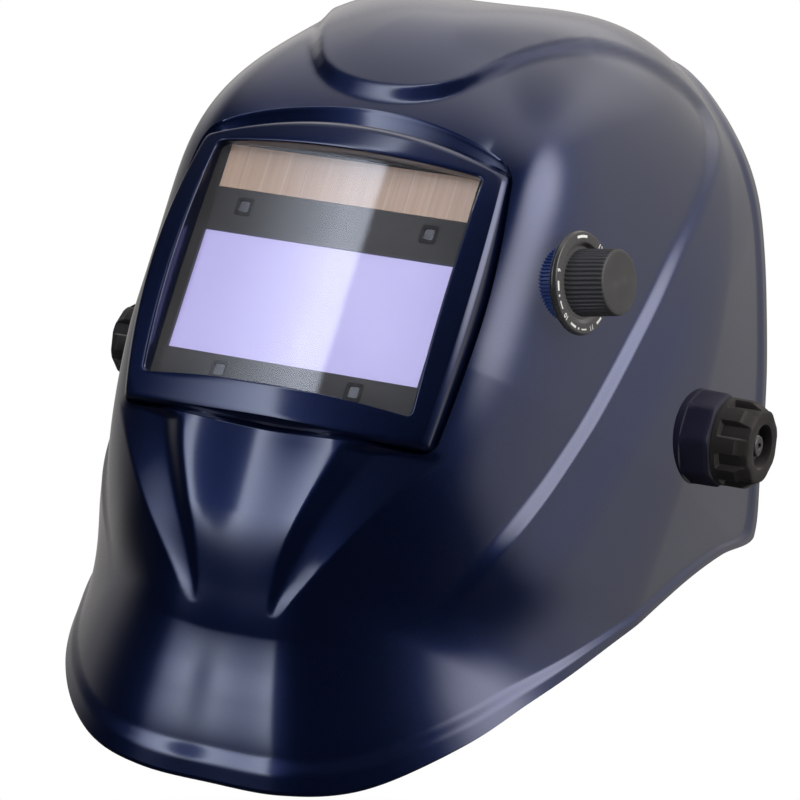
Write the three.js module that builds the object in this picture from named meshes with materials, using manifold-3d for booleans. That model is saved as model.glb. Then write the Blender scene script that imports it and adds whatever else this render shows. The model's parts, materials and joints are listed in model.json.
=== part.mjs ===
// Auto-darkening welding helmet: shell, filter cartridge, shade dial and ratchet headgear.
// Millimetres, +Z up, -Y the way the wearer looks, +X the wearer's left.
// The origin is the middle of the tilt axis, between the two pivots.
import * as THREE from 'three';
import { mergeVertices } from 'three/addons/utils/BufferGeometryUtils.js';
import Module from 'manifold-3d';

const wasm = await Module();
wasm.setup();

// ---------------------------------------------------------------- driving dimensions

const GAP = 0.3;

// Shell
const SHELL_CENTRE = new THREE.Vector3(0, 0, -25);   // the surface is measured outward from here
const SHELL_WALL = 2.4;
const SHELL_WIDTH = 100.2;        // half width at the pivots
const SHELL_TAPER = 0.27;         // narrowing of the cheeks towards the window
const SHELL_LENGTH = 132.1;       // from the widest section to the front
const SHELL_WIDEST_Y = 20;
const SHELL_RISE = 138;           // crown height over the tilt axis
const RIDGE_STEP = 5.7;           // crown and cheeks stand this far outside the face panel
const CHIN_FLARE = 10.4;
const BEAD = 1.5;
// Edge of the shell: direction round the face axis (0 up, 180 down) and angle from the face axis
const RIM = [[0, 94.6], [20, 94.5], [35, 98], [48, 104.5], [60, 112], [72, 119], [84, 124.5],
  [92, 114.5], [104, 100.3], [122, 81.6], [135, 72], [143, 68.1], [150, 65.7], [159, 64],
  [168, 62.8], [180, 62.6]];
// Step line between the face panel and the crown and cheeks, in the same two angles
const RIDGE = [[0, 43.4], [5, 43.7], [9, 44.5], [13, 46.1], [16.3, 49.2], [18.3, 54], [19.7, 60.3],
  [21, 67.3], [22.7, 73.5], [24.3, 79.5], [26, 86], [28.6, 87.6], [33.9, 85.1], [40.9, 80.4], [49, 74.3], [59.5, 68.2],
  [65.8, 65], [78, 60], [93, 55.2], [105.7, 52.4], [114, 51.1], [123, 50.4], [129, 50.8],
  [139, 52], [146, 53.4]];
// Sweep of the chin's middle: degrees in from the rim and the distance outward
const CHIN = [[0, 10.4], [5, 4.3], [9, -0.6], [13, -3.4], [17, -4], [24, -2.1], [34, 0], [90, 0]];
// Chin: half width of the centre panel by height, and the crease outside the hollow beside it
const PANEL = [[-118, 14], [-100, 15.5], [-90, 18], [-78, 22.5], [-65, 27.5], [-54, 31], [-48, 33]];
const CREASE = [[-115.5, 18], [-54.6, 62], [-50, 65.3]];
const HOLLOW = 5;                 // greatest depth of the hollows

// Window
const WINDOW = { x: 52, z0: -40.3, z1: 46.2 };
const FRAME = { x: 60.5, z0: -52, z1: 49.4, arch: 9.2, bulge: 3.4 };
const POCKET = { x: 56.2, z0: -43.2, z1: 49.2 };
const POCKET_FRONT = -107.7;
const POCKET_BACK = -98.4;

// Filter cartridge, 110 x 90 x 9
const CARTRIDGE = { x: 55, z0: -42, z1: 48, y0: -107.4, y1: -98.4 };
const GLASS = { x: 49, z0: -30, z1: 14 };
const SOLAR = { x: 49, z0: 30.3, z1: 46.3 };
const SENSORS = [[-36.5, 24], [36.5, 24], [-26.5, -35.6], [26.5, -35.6]];

// Pivots, measured outward along X
const STUD_R = 4;
const STUD_HOLE_R = 4.4;
const BOSS_R = 16;
const BOSS_FACE = 116.6;
const KNOB_FACE = 131;
const INNER_FACE = 100.6;
const TILT = 68;

// Shade dial on the wearer's left
const DIAL_CENTRE = new THREE.Vector3(86.3, -83.3, 23.1);
const DIAL_AXIS = new THREE.Vector3(0.98, -0.176, 0.09).normalize();

// Headgear
const BAND_X = 79;
const BAND_FRONT = -66;
const BAND_MID_Y = 37;
const BAND_WALL = 1.8;
const CROWN_Z = 100;
const NAPE_PLANE = new THREE.Vector3(0, 45, 28);     // the rear straps lie in a plane through here
const NAPE_SLOPE = THREE.MathUtils.degToRad(-18);
const NAPE_MID = 16;              // arc centre behind that point
const STRAP_OUTER_R = 77;
const STRAP_INNER_R = 74.8;
const STRAP_WALL = 1.6;
const PINION_TEETH = 12;
const PINION_PITCH_R = 5;

// ---------------------------------------------------------------- small helpers

const rad = THREE.MathUtils.degToRad;
const clamp = THREE.MathUtils.clamp;

function ease(x, a, b) {
  const t = clamp((x - a) / (b - a), 0, 1);
  return t * t * (3 - 2 * t);
}

function table(rows, x) {
  let i = 0;
  while (i < rows.length - 2 && x > rows[i + 1][0]) i++;
  const [x0, y0] = rows[i];
  const [x1, y1] = rows[i + 1];
  return y0 + (y1 - y0) * clamp((x - x0) / (x1 - x0), 0, 1);
}

// Smooth reading of a table: a cubic whose slopes are averaged from the neighbours
function smoothTable(rows, x) {
  let i = 0;
  while (i < rows.length - 2 && x > rows[i + 1][0]) i++;
  const slope = (a, b) => (rows[b][1] - rows[a][1]) / (rows[b][0] - rows[a][0]);
  const s = slope(i, i + 1);
  const limit = (m) => (m * s <= 0 ? 0 : Math.sign(s) * Math.min(Math.abs(m), 3 * Math.abs(s)));
  const m0 = limit(i > 0 ? (slope(i - 1, i) + s) / 2 : 0);
  const m1 = limit(i < rows.length - 2 ? (slope(i + 1, i + 2) + s) / 2 : 0);
  const h = rows[i + 1][0] - rows[i][0];
  const t = clamp((x - rows[i][0]) / h, 0, 1);
  return rows[i][1] * (1 + 2 * t) * (1 - t) ** 2 + m0 * h * t * (1 - t) ** 2
    + rows[i + 1][1] * t * t * (3 - 2 * t) - m1 * h * t * t * (1 - t);
}

function solid(geometry) {
  const bare = geometry.index ? geometry.clone() : geometry;
  bare.deleteAttribute('normal');
  bare.deleteAttribute('uv');
  const merged = mergeVertices(bare, 1e-4);
  return new wasm.Manifold(new wasm.Mesh({
    numProp: 3,
    vertProperties: new Float32Array(merged.attributes.position.array),
    triVerts: new Uint32Array(merged.index.array),
  }));
}

function geometryOf(manifold) {
  const mesh = manifold.getMesh();
  const geometry = new THREE.BufferGeometry();
  geometry.setAttribute('position', new THREE.BufferAttribute(new Float32Array(mesh.vertProperties), 3));
  geometry.setIndex(new THREE.BufferAttribute(new Uint32Array(mesh.triVerts), 1));
  const flat = geometry.toNonIndexed();
  flat.computeVertexNormals();
  return flat;
}

function join(first, ...others) {
  return others.reduce((whole, piece) => whole.add(piece), first);
}

function cut(first, ...others) {
  return others.reduce((whole, piece) => whole.subtract(piece), first);
}

function block(x0, x1, y0, y1, z0, z1) {
  const geometry = new THREE.BoxGeometry(x1 - x0, y1 - y0, z1 - z0);
  geometry.translate((x0 + x1) / 2, (y0 + y1) / 2, (z0 + z1) / 2);
  return solid(geometry);
}

// Cylinder between two distances along a unit axis through a point
function rod(point, axis, from, to, radius, sides = 24, radiusTo = radius) {
  const geometry = new THREE.CylinderGeometry(radiusTo, radius, to - from, sides);
  geometry.translate(0, (from + to) / 2, 0);
  const turn = new THREE.Quaternion().setFromUnitVectors(new THREE.Vector3(0, 1, 0), axis);
  geometry.applyQuaternion(turn);
  geometry.translate(point.x, point.y, point.z);
  return solid(geometry);
}

const AXIS_X = new THREE.Vector3(1, 0, 0);
const AXIS_Y = new THREE.Vector3(0, 1, 0);
const AXIS_Z = new THREE.Vector3(0, 0, 1);
const ORIGIN = new THREE.Vector3(0, 0, 0);

function shapeFrom(points) {
  return new THREE.Shape(points.map(([x, y]) => new THREE.Vector2(x, y)));
}

function roundedRect(x0, x1, z0, z1, r) {
  const points = [];
  const corners = [[x1 - r, z1 - r, 0], [x0 + r, z1 - r, 90], [x0 + r, z0 + r, 180], [x1 - r, z0 + r, 270]];
  for (const [cx, cz, start] of corners) {
    for (let k = 0; k <= 4; k++) {
      const a = rad(start + k * 22.5);
      points.push([cx + r * Math.cos(a), cz + r * Math.sin(a)]);
    }
  }
  return points;
}

// Outline in X and Z pushed along Y
function prismY(points, y0, y1) {
  const geometry = new THREE.ExtrudeGeometry(shapeFrom(points), { depth: y1 - y0, bevelEnabled: false });
  geometry.rotateX(Math.PI / 2);
  geometry.translate(0, y1, 0);
  return solid(geometry);
}

// Outline in X and Y pushed along Z
function prismZ(points, z0, z1) {
  const geometry = new THREE.ExtrudeGeometry(shapeFrom(points), { depth: z1 - z0, bevelEnabled: false });
  geometry.translate(0, 0, z0);
  return solid(geometry);
}

// Outline in Y and Z pushed along X
function prismX(points, x0, x1) {
  const geometry = new THREE.ExtrudeGeometry(shapeFrom(points), { depth: x1 - x0, bevelEnabled: false });
  geometry.rotateX(Math.PI / 2);
  geometry.rotateZ(Math.PI / 2);
  geometry.translate(x0, 0, 0);
  return solid(geometry);
}

// Outline of a strip of even thickness along a path
function strip(path, thickness) {
  const left = [];
  const right = [];
  path.forEach(([x, y], i) => {
    const [ax, ay] = path[Math.max(i - 1, 0)];
    const [bx, by] = path[Math.min(i + 1, path.length - 1)];
    const length = Math.hypot(bx - ax, by - ay);
    const nx = -(by - ay) / length;
    const ny = (bx - ax) / length;
    left.push([x + nx * thickness / 2, y + ny * thickness / 2]);
    right.unshift([x - nx * thickness / 2, y - ny * thickness / 2]);
  });
  return left.concat(right);
}

function ring(radius, sides, start = 0, end = 360) {
  const points = [];
  const closed = end - start === 360;
  const count = closed ? sides : sides + 1;
  for (let k = 0; k < count; k++) {
    const a = rad(start + (end - start) * k / sides);
    points.push([radius * Math.cos(a), radius * Math.sin(a)]);
  }
  return points;
}

function mirrorX(manifold) {
  const mesh = manifold.getMesh();
  const position = new Float32Array(mesh.vertProperties);
  for (let i = 0; i < position.length; i += 3) position[i] *= -1;
  const index = new Uint32Array(mesh.triVerts);
  for (let i = 0; i < index.length; i += 3) [index[i], index[i + 1]] = [index[i + 1], index[i]];
  return new wasm.Manifold(new wasm.Mesh({ numProp: 3, vertProperties: position, triVerts: index }));
}

// ---------------------------------------------------------------- shell surface

function shellSection(p) {
  const chin = Math.max(-52.2 - p.z, 0);
  const length = p.y < SHELL_WIDEST_Y ? SHELL_LENGTH - 0.0036 * chin * chin : 400;
  const ahead = Math.max(-p.y, 0);
  const width = SHELL_WIDTH - SHELL_TAPER * ahead * ahead / (ahead + 15) - 0.049 * Math.max(-20 - p.z, 0);
  const crown = ease(p.z, 40, 110);
  const corner = 8 - 4.5 * crown - 5.26 * ease(-p.z, 10, 110);
  const across = Math.abs(p.x / width) ** (corner * (1 + 0.36 * crown));
  const along = Math.abs((p.y - SHELL_WIDEST_Y) / length) ** corner;
  return (across + along) ** (2.73 / corner) + Math.max((p.z + 1) / SHELL_RISE, 0) ** 2.73 - 1;
}

function shellDirection(psi, alpha) {
  const s = Math.sin(rad(alpha));
  return new THREE.Vector3(s * Math.sin(rad(psi)), -Math.cos(rad(alpha)), s * Math.cos(rad(psi)));
}

function sectionReach(direction) {
  let near = 10;
  let far = 330;
  for (let k = 0; k < 36; k++) {
    const mid = (near + far) / 2;
    if (shellSection(direction.clone().multiplyScalar(mid).add(SHELL_CENTRE)) < 0) near = mid;
    else far = mid;
  }
  return near;
}

function rimAngle(psi) {
  return smoothTable(RIM, Math.abs(psi));
}

// Distance outside the step line, about in millimetres
function outsideRidge(psi, alpha) {
  const turn = Math.abs(psi);
  const px = alpha * Math.sin(rad(turn));
  const pz = alpha * Math.cos(rad(turn));
  let best = Infinity;
  for (let i = 0; i < RIDGE.length - 1; i++) {
    const [[a0, r0], [a1, r1]] = [RIDGE[i], RIDGE[i + 1]];
    const ax = r0 * Math.sin(rad(a0));
    const az = r0 * Math.cos(rad(a0));
    const dx = r1 * Math.sin(rad(a1)) - ax;
    const dz = r1 * Math.cos(rad(a1)) - az;
    const t = clamp(((px - ax) * dx + (pz - az) * dz) / (dx * dx + dz * dz), 0, 1);
    best = Math.min(best, Math.hypot(px - ax - t * dx, pz - az - t * dz));
  }
  return 1.9 * (alpha < table(RIDGE, turn) ? -best : best);
}

function relief(psi, alpha) {
  const turn = Math.abs(psi);
  const rim = rimAngle(psi);
  const outside = outsideRidge(psi, alpha);
  // full shoulders above the crown, and a thin crisp step that goes on growing backward
  const shoulder = 4 * Math.exp(-(((turn - 16) / 8) ** 2)) * ease(alpha, 60, 85)
    + 2.8 * Math.exp(-(((turn - 38) / 16) ** 2) - ((alpha - 46) / 12) ** 2);
  const rise = 0.44 * ease(outside, -1, 4.5) + 0.56 * ease(outside, 0, 31);
  const step = RIDGE_STEP * rise * (1 - ease(turn, 112, 146));
  const sideFlare = CHIN_FLARE * clamp((alpha - rim + 20) / 20, 0, 1) ** 1.7;
  const middle = ease(turn, 136, 164);
  const flare = THREE.MathUtils.lerp(sideFlare, smoothTable(CHIN, rim - alpha), middle);
  return step + shoulder + flare * ease(turn, 115, 145) + BEAD * ease(alpha, rim - 3, rim - 1);
}

// Depth of the two hollows beside the chin's centre panel
function hollow(p) {
  const x = Math.abs(p.x);
  const panel = table(PANEL, p.z);
  const across = clamp((x - panel) / Math.max(table(CREASE, p.z) - panel, 2), 0, 1);
  const dip = across < 0.34 ? ease(across, -0.02, 0.34) : 1 - ((across - 0.34) / 0.66) ** 1.5;
  const roof = -52.6 + 2.4 * ease(x, 37, 57);
  return HOLLOW * clamp((p.z + 116) / 60, 0, 1) ** 0.8 * dip * ease(roof - p.z, 0, 5);
}

function shellPoint(psi, alpha) {
  const direction = shellDirection(psi, alpha);
  const reach = sectionReach(direction);
  const base = direction.clone().multiplyScalar(reach).add(SHELL_CENTRE);
  return direction.multiplyScalar(reach + relief(psi, alpha) - hollow(base)).add(SHELL_CENTRE);
}

// Where a direction round the face axis crosses the middle of the window frame's wall
function openingAngle(psi) {
  const x = (FRAME.x + POCKET.x) / 2;
  const zMid = (FRAME.z0 + FRAME.z1 + POCKET.z0 + POCKET.z1) / 4;
  const zHalf = (FRAME.z1 - FRAME.z0 + POCKET.z1 - POCKET.z0) / 4;
  let near = 5;
  let far = 60;
  for (let k = 0; k < 30; k++) {
    const mid = (near + far) / 2;
    const p = shellPoint(psi, mid);
    const out = Math.abs(p.x / x) ** 14 + Math.abs((p.z - zMid) / zHalf) ** 14;
    if (out < 1) near = mid;
    else far = mid;
  }
  return near;
}

function shellColumns() {
  const half = [0, 6, 12, 16, 20, 24, 28, 33, 38, 43, 49, 55, 62, 69, 77, 84, 91,
    98, 105, 111, 117, 123, 129, 135, 141, 147, 153, 159, 165, 172];
  const left = half.slice(1).map((a) => -a).reverse();
  return [...left, ...half, 180];
}

function shellWall() {
  const rows = [];
  const outer = [0, 0.07, 0.15, 0.23, 0.31, 0.38, 0.45, 0.52, 0.59, 0.67, 0.76, 0.85, 0.92, 0.97, 1];
  const inner = [1, 0.96, 0.85, 0.73, 0.61, 0.5, 0.39, 0.28, 0.15, 0];
  for (const t of outer) rows.push([t, 0]);
  for (const t of inner) rows.push([t, SHELL_WALL]);
  const columns = shellColumns();
  const edges = columns.map((psi) => [openingAngle(psi), rimAngle(psi)]);
  const position = [];
  for (const [t, depth] of rows) {
    columns.forEach((psi, j) => {
      const [open, rim] = edges[j];
      const alpha = open + (rim - open) * t;
      const p = shellPoint(psi, alpha);
      if (depth > 0) {
        const at = Math.min(alpha, rim - 5);
        const du = shellPoint(psi + 1.5, at).sub(shellPoint(psi - 1.5, at));
        const dv = shellPoint(psi, at + 1.5).sub(shellPoint(psi, at - 1.5));
        const normal = du.cross(dv).normalize();
        if (normal.dot(shellDirection(psi, alpha)) < 0) normal.negate();
        p.addScaledVector(normal, -depth - (t > 0.96 ? BEAD : 0));
      }
      position.push(p.x, p.y, p.z);
    });
  }
  const index = [];
  const n = columns.length;
  for (let i = 0; i < rows.length; i++) {
    for (let j = 0; j < n; j++) {
      const i1 = (i + 1) % rows.length;
      const j1 = (j + 1) % n;
      const [a, b, c, d] = [i * n + j, i * n + j1, i1 * n + j1, i1 * n + j];
      index.push(a, b, c, a, c, d);
    }
  }
  const geometry = new THREE.BufferGeometry();
  geometry.setAttribute('position', new THREE.Float32BufferAttribute(position, 3));
  geometry.setIndex(index);
  return solid(geometry);
}

// A block whose front face bulges forward, for the face of the window frame
function bulgedBlock() {
  const nx = 12;
  const nz = 10;
  const xs = Array.from({ length: nx + 1 }, (_, i) => -66 + 132 * i / nx);
  const zs = Array.from({ length: nz + 1 }, (_, i) => -60 + 120 * i / nz);
  const geometry = new THREE.BoxGeometry(132, 1, 120, nx, 1, nz);
  const position = geometry.attributes.position;
  for (let k = 0; k < position.count; k++) {
    const x = xs[Math.round((position.getX(k) + 66) / 132 * nx)];
    const z = zs[Math.round((position.getZ(k) + 60) / 120 * nz)];
    const front = -121 + 6.5 * (x / 60) ** 2 + 5.5 * (z / 50) ** 2;
    position.setXYZ(k, x, position.getY(k) < 0 ? front : POCKET_BACK, z);
  }
  return solid(geometry);
}

// Outline of the frame: the top arches and the sides and bottom bulge a little
function frameOutline() {
  const side = (t) => 1 - (2 * t - 1) ** 2;
  const points = [];
  const count = 10;
  for (let i = 0; i < count; i++) {
    const t = i / count;
    points.push([FRAME.x * (1 - 2 * t), FRAME.z1 + FRAME.arch * side(t)]);
  }
  for (let i = 0; i < count; i++) {
    const t = i / count;
    points.push([-FRAME.x - FRAME.bulge * side(t), FRAME.z1 + (FRAME.z0 - FRAME.z1) * t]);
  }
  for (let i = 0; i < count; i++) {
    const t = i / count;
    points.push([FRAME.x * (2 * t - 1), FRAME.z0 - 1.4 * side(t)]);
  }
  for (let i = 0; i < count; i++) {
    const t = i / count;
    points.push([FRAME.x + FRAME.bulge * side(t), FRAME.z0 + (FRAME.z1 - FRAME.z0) * t]);
  }
  return points;
}

function windowFrame() {
  const outline = prismY(frameOutline(), -130, -90);
  const opening = prismY(roundedRect(-WINDOW.x, WINDOW.x, WINDOW.z0, WINDOW.z1, 3), -131, -89);
  const pocket = prismY(roundedRect(-POCKET.x, POCKET.x, POCKET.z0, POCKET.z1, 2), POCKET_FRONT, -89);
  return cut(outline.intersect(bulgedBlock()), opening, pocket);
}

function octagon(radius, from, to) {
  return rod(ORIGIN, AXIS_X, from, to, radius, 8);
}

function buildShell() {
  const pivotBoss = join(octagon(BOSS_R + 1, 104, BOSS_FACE), rod(ORIGIN, AXIS_X, INNER_FACE, 105, 17, 32));
  const dialBoss = rod(DIAL_CENTRE, DIAL_AXIS, -15, -3.3, 13, 40);
  let shell = join(shellWall(), windowFrame(), pivotBoss, mirrorX(pivotBoss), dialBoss);
  // the filter pocket stays clear of the wall it is joined to
  const pocket = prismY(roundedRect(-POCKET.x, POCKET.x, POCKET.z0, POCKET.z1, 2), POCKET_FRONT, -85);
  const seat = rod(ORIGIN, AXIS_X, 85, INNER_FACE, 17.5, 32);
  const bore = rod(ORIGIN, AXIS_X, 85, 120, STUD_HOLE_R + 0.2, 20);
  const dialHollow = rod(DIAL_CENTRE, DIAL_AXIS, -32, -5.8, 10.5, 32);
  const dialHole = rod(DIAL_CENTRE, DIAL_AXIS, -8, 0, 4.1, 20);
  shell = cut(shell, pocket, seat, mirrorX(seat), bore, mirrorX(bore), dialHollow, dialHole);
  // peg that meets the stop plate at each end of the tilt
  const pegAt = new THREE.Vector3(0, -21 * Math.cos(rad(200)), 21 * Math.sin(rad(200)));
  const peg = rod(pegAt, AXIS_X, 97, 103.5, 2.2, 12);
  return join(shell, peg, mirrorX(peg));
}

// ---------------------------------------------------------------- filter cartridge

function buildCartridge() {
  const pieces = {};
  const c = CARTRIDGE;
  const pocket = block(-49, 49, -104, -97, 15.5, 46.4);
  const step = block(-52, 52, -99.9, -97, 14.9, 46.9);
  const glassWindow = block(-GLASS.x - GAP, GLASS.x + GAP, -110, -95, GLASS.z0 - GAP, GLASS.z1 + GAP);
  const solarSeat = block(-SOLAR.x - GAP, SOLAR.x + GAP, -109, -106.2, SOLAR.z0 - GAP, SOLAR.z1 + GAP);
  let housing = prismY(roundedRect(-c.x, c.x, c.z0, c.z1, 2), c.y0, c.y1);
  housing = cut(housing, pocket, step, glassWindow, solarSeat);
  SENSORS.forEach(([x, z], i) => {
    housing = cut(housing, block(x - 2.9, x + 2.9, -109, -106.1, z - 2.9, z + 2.9));
    pieces[`arc_sensor_${i + 1}`] = block(x - 2.5, x + 2.5, -107.2, -106.4, z - 2.5, z + 2.5);
  });
  pieces.filter_housing = housing;
  pieces.filter_glass = block(-GLASS.x, GLASS.x, -106.6, -103.8, GLASS.z0, GLASS.z1);
  pieces.solar_panel = block(-SOLAR.x, SOLAR.x, -107.1, -106.5, SOLAR.z0, SOLAR.z1);
  pieces.circuit_board = block(-46, 46, -103.6, -102.6, 18, 44);
  const shaftHole = (x) => rod(new THREE.Vector3(x, 0, 24), AXIS_Y, -101, -96, 1.9, 12);
  const cover = block(-51.7, 51.7, -99.6, -98.4, 15.2, 46.6);
  pieces.housing_cover = cut(cover, shaftHole(-42), shaftHole(42));
  [-22, 22].forEach((x, i) => {
    pieces[`battery_${i + 1}`] = rod(new THREE.Vector3(x, 0, 31), AXIS_Y, -102.3, -100.2, 10, 28);
  });
  return pieces;
}

function controlKnob(x) {
  const at = new THREE.Vector3(x, 0, 24);
  let knob = rod(at, AXIS_Y, -98.1, -94.6, 5, 20);
  knob = join(knob, rod(at, AXIS_Y, -102.2, -98, 1.5, 12), block(x - 0.7, x + 0.7, -95, -93.4, 20, 28));
  return knob;
}

function buildLensFrame() {
  let frame = prismY(roundedRect(-60.2, 60.2, -51.7, 50.4, 5), -98.1, -95.6);
  frame = cut(frame, block(-50.5, 50.5, -100, -93, -33, 15.6), block(-50.5, 50.5, -100, -93, 17.6, 46.4));
  for (const s of [-1, 1]) {
    const lug = block(Math.min(s * 10.5, s * 13.5), Math.max(s * 10.5, s * 13.5), -96, -91.4, -50.6, -46.4);
    const pad = block(Math.min(s * 52, s * 58), Math.max(s * 52, s * 58), -96, -94.4, -30, 20);
    frame = join(frame, lug, pad);
  }
  return cut(frame, rod(new THREE.Vector3(0, -93.4, -48.5), AXIS_X, -15, 15, 1.25, 14));
}

function buildLatch() {
  const hinge = new THREE.Vector3(0, -93.4, -48.5);
  return join(
    rod(hinge, AXIS_X, -13, 13, 0.85, 10),
    rod(hinge, AXIS_X, -10.1, 10.1, 1.6, 16),
    block(-9.5, 9.5, -94.7, -93.1, -48.5, -37.5),
    block(-9.5, 9.5, -93.2, -91.9, -39.5, -37.5),
  );
}

// ---------------------------------------------------------------- shade dial

function lathed(points, sides) {
  const geometry = new THREE.LatheGeometry(points.map(([r, y]) => new THREE.Vector2(r, y)), sides);
  return solid(geometry);
}

// Solid built round +Y, set on the dial's axis
function onDial(manifold) {
  const geometry = geometryOf(manifold);
  geometry.applyQuaternion(new THREE.Quaternion().setFromUnitVectors(AXIS_Y, DIAL_AXIS));
  geometry.translate(DIAL_CENTRE.x, DIAL_CENTRE.y, DIAL_CENTRE.z);
  return solid(geometry);
}

function buildScaleRing() {
  return onDial(lathed([[4.2, -3], [17, -3], [18, -2], [18, -0.8], [17.3, 0], [14.2, 0], [12.4, -1.2],
    [4.2, -1.2], [4.2, -3]], 32));
}

function flutedOutline(radius, depth, flutes) {
  const points = [];
  for (let k = 0; k < flutes; k++) {
    for (const [part, r] of [[0, radius], [0.5, radius], [0.62, radius - depth], [0.88, radius - depth]]) {
      const a = rad(360 * (k + part) / flutes);
      points.push([r * Math.cos(a), r * Math.sin(a)]);
    }
  }
  return points;
}

function buildShadeKnob() {
  const outline = shapeFrom(flutedOutline(11.5, 0.7, 20));
  const body = new THREE.ExtrudeGeometry(outline, { depth: 13.6, bevelEnabled: false });
  body.rotateX(-Math.PI / 2);
  body.translate(0, -0.9, 0);
  const skirt = rod(ORIGIN, AXIS_Y, 12.2, 14.6, 11.5, 36, 11);
  const recess = rod(ORIGIN, AXIS_Y, -2, 3.2, 7.4, 24);
  const bore = rod(ORIGIN, AXIS_Y, -2, 10.2, 3.3, 16);
  return onDial(cut(join(solid(body), skirt), recess, bore));
}

function buildPotentiometer() {
  const body = rod(ORIGIN, AXIS_Y, -15, -6.2, 8.4, 24);
  const bushing = rod(ORIGIN, AXIS_Y, -7, 1.9, 3.5, 16);
  const shaft = rod(ORIGIN, AXIS_Y, 1, 9.8, 2.9, 16);
  return onDial(join(body, bushing, shaft));
}

function buildPotNut() {
  return onDial(cut(rod(ORIGIN, AXIS_Y, -0.9, 1.5, 6.2, 6), rod(ORIGIN, AXIS_Y, -2, 3, 3.8, 16)));
}

function pathSolid(points, radius, steps, sides = 8) {
  const curve = new THREE.CatmullRomCurve3(points, false, 'centripetal');
  const round = shapeFrom(ring(radius, sides));
  const geometry = new THREE.ExtrudeGeometry(round, { steps, extrudePath: curve, bevelEnabled: false });
  return solid(geometry);
}

const LEAD_PLUG = new THREE.Vector3(46, -98.1, 34);

function leadPath() {
  const along = (d) => DIAL_AXIS.clone().multiplyScalar(d).add(DIAL_CENTRE);
  return [along(-15.3), along(-17.5), new THREE.Vector3(64.5, -87.5, 26), new THREE.Vector3(61, -92, 32.5),
    new THREE.Vector3(57.5, -92.9, 34), new THREE.Vector3(53, -92.9, 34), new THREE.Vector3(49, -93.2, 34),
    new THREE.Vector3(46.4, -95.2, 34), LEAD_PLUG.clone()];
}

function buildLeadClip() {
  const clip = block(53.4, 57, -95.3, -90.4, 31, 37);
  return cut(clip, rod(new THREE.Vector3(0, -92.9, 34), AXIS_X, 50, 60, 2, 16));
}

// ---------------------------------------------------------------- tilt pivots (left side, +X)

function tensionKnobOutline() {
  const points = [];
  const lobes = 8;
  for (let k = 0; k < lobes; k++) {
    const mid = 360 * k / lobes;
    for (const [turn, r] of [[-13, 15.4], [0, 15.6], [13, 15.4], [22.5, 13.6]]) {
      const a = rad(mid + turn);
      points.push([r * Math.cos(a), r * Math.sin(a)]);
    }
  }
  return points;
}

function buildTensionKnob() {
  const lobes = prismX(tensionKnobOutline(), BOSS_FACE + 2.6, KNOB_FACE - 1.6);
  const flange = rod(ORIGIN, AXIS_X, BOSS_FACE + GAP, BOSS_FACE + 2.9, 15.6, 32);
  const face = rod(ORIGIN, AXIS_X, KNOB_FACE - 1.8, KNOB_FACE, 15.2, 8, 13.6);
  const bore = rod(ORIGIN, AXIS_X, 110, 140, STUD_HOLE_R, 20);
  const recess = rod(ORIGIN, AXIS_X, KNOB_FACE - 5, 140, 7.8, 28);
  return cut(join(lobes, flange, face), bore, recess);
}

function buildStud() {
  const body = join(rod(ORIGIN, AXIS_X, 85.6, 88.3, 8, 24), rod(ORIGIN, AXIS_X, 87, 128.6, STUD_R, 20),
    rod(ORIGIN, AXIS_X, 128, 129.6, STUD_R, 20, 3.3));
  return cut(body, rod(ORIGIN, AXIS_X, 127, 132, 1.2, 12));
}

function buildWasher() {
  return cut(rod(ORIGIN, AXIS_X, 98.9, 100.3, 14, 32), rod(ORIGIN, AXIS_X, 96, 106, STUD_HOLE_R, 20));
}

function buildStopPlate() {
  // outline in Y and Z: a disc whose edge is notched where the shell's peg travels
  const points = [];
  const notchFrom = 200 - 6.8;
  const notchTo = 200 + TILT + 6.8;
  const at = (angle, r) => [-r * Math.cos(rad(angle)), r * Math.sin(rad(angle))];
  for (let k = 0; k <= 10; k++) points.push(at(notchFrom + (notchTo - notchFrom) * k / 10, 17.6));
  for (let k = 0; k <= 28; k++) points.push(at(notchTo + (360 - notchTo + notchFrom) * k / 28, 24));
  return cut(prismX(points.reverse(), 96.6, 98.6), rod(ORIGIN, AXIS_X, 95, 106, STUD_HOLE_R, 20));
}

function buildSlideBlock() {
  return cut(block(92, 96.3, -13, 13, -10.9, 10.9), rod(ORIGIN, AXIS_X, 90, 102, STUD_HOLE_R, 20));
}

function buildSideArm() {
  const plate = prismX([[-19, -9], [-15, -13.4], [29, -13.4], [29, 30], [17.8, 30], [17.8, 13.4], [-15, 13.4],
    [-19, 9]], 88.6, 91.7);
  const rails = join(block(91.6, 93.4, -15, 29, 11.2, 13.4), block(91.6, 93.4, -15, 29, -13.4, -11.2));
  const web = block(80.3, 89, 18.2, 28, 15, 30);
  const slotEnd = (y) => rod(new THREE.Vector3(0, y, 0), AXIS_X, 86, 93, 4.4, 16);
  const slot = join(block(86, 93, -6.2, 6.2, -4.4, 4.4), slotEnd(-6.2), slotEnd(6.2));
  const hollow = block(83, 87, 21, 25.2, 14, 27.4);
  const rivetHole = rod(new THREE.Vector3(0, 23.1, 22), AXIS_X, 78, 84, 2.6, 14);
  return cut(join(plate, rails, web), slot, hollow, rivetHole);
}

function buildArmRivet() {
  const at = new THREE.Vector3(0, 23.1, 22);
  return join(rod(at, AXIS_X, 76.4, 82.6, 2.2, 14), rod(at, AXIS_X, 75.2, 76.6, 4, 18));
}

// ---------------------------------------------------------------- headgear

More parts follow.
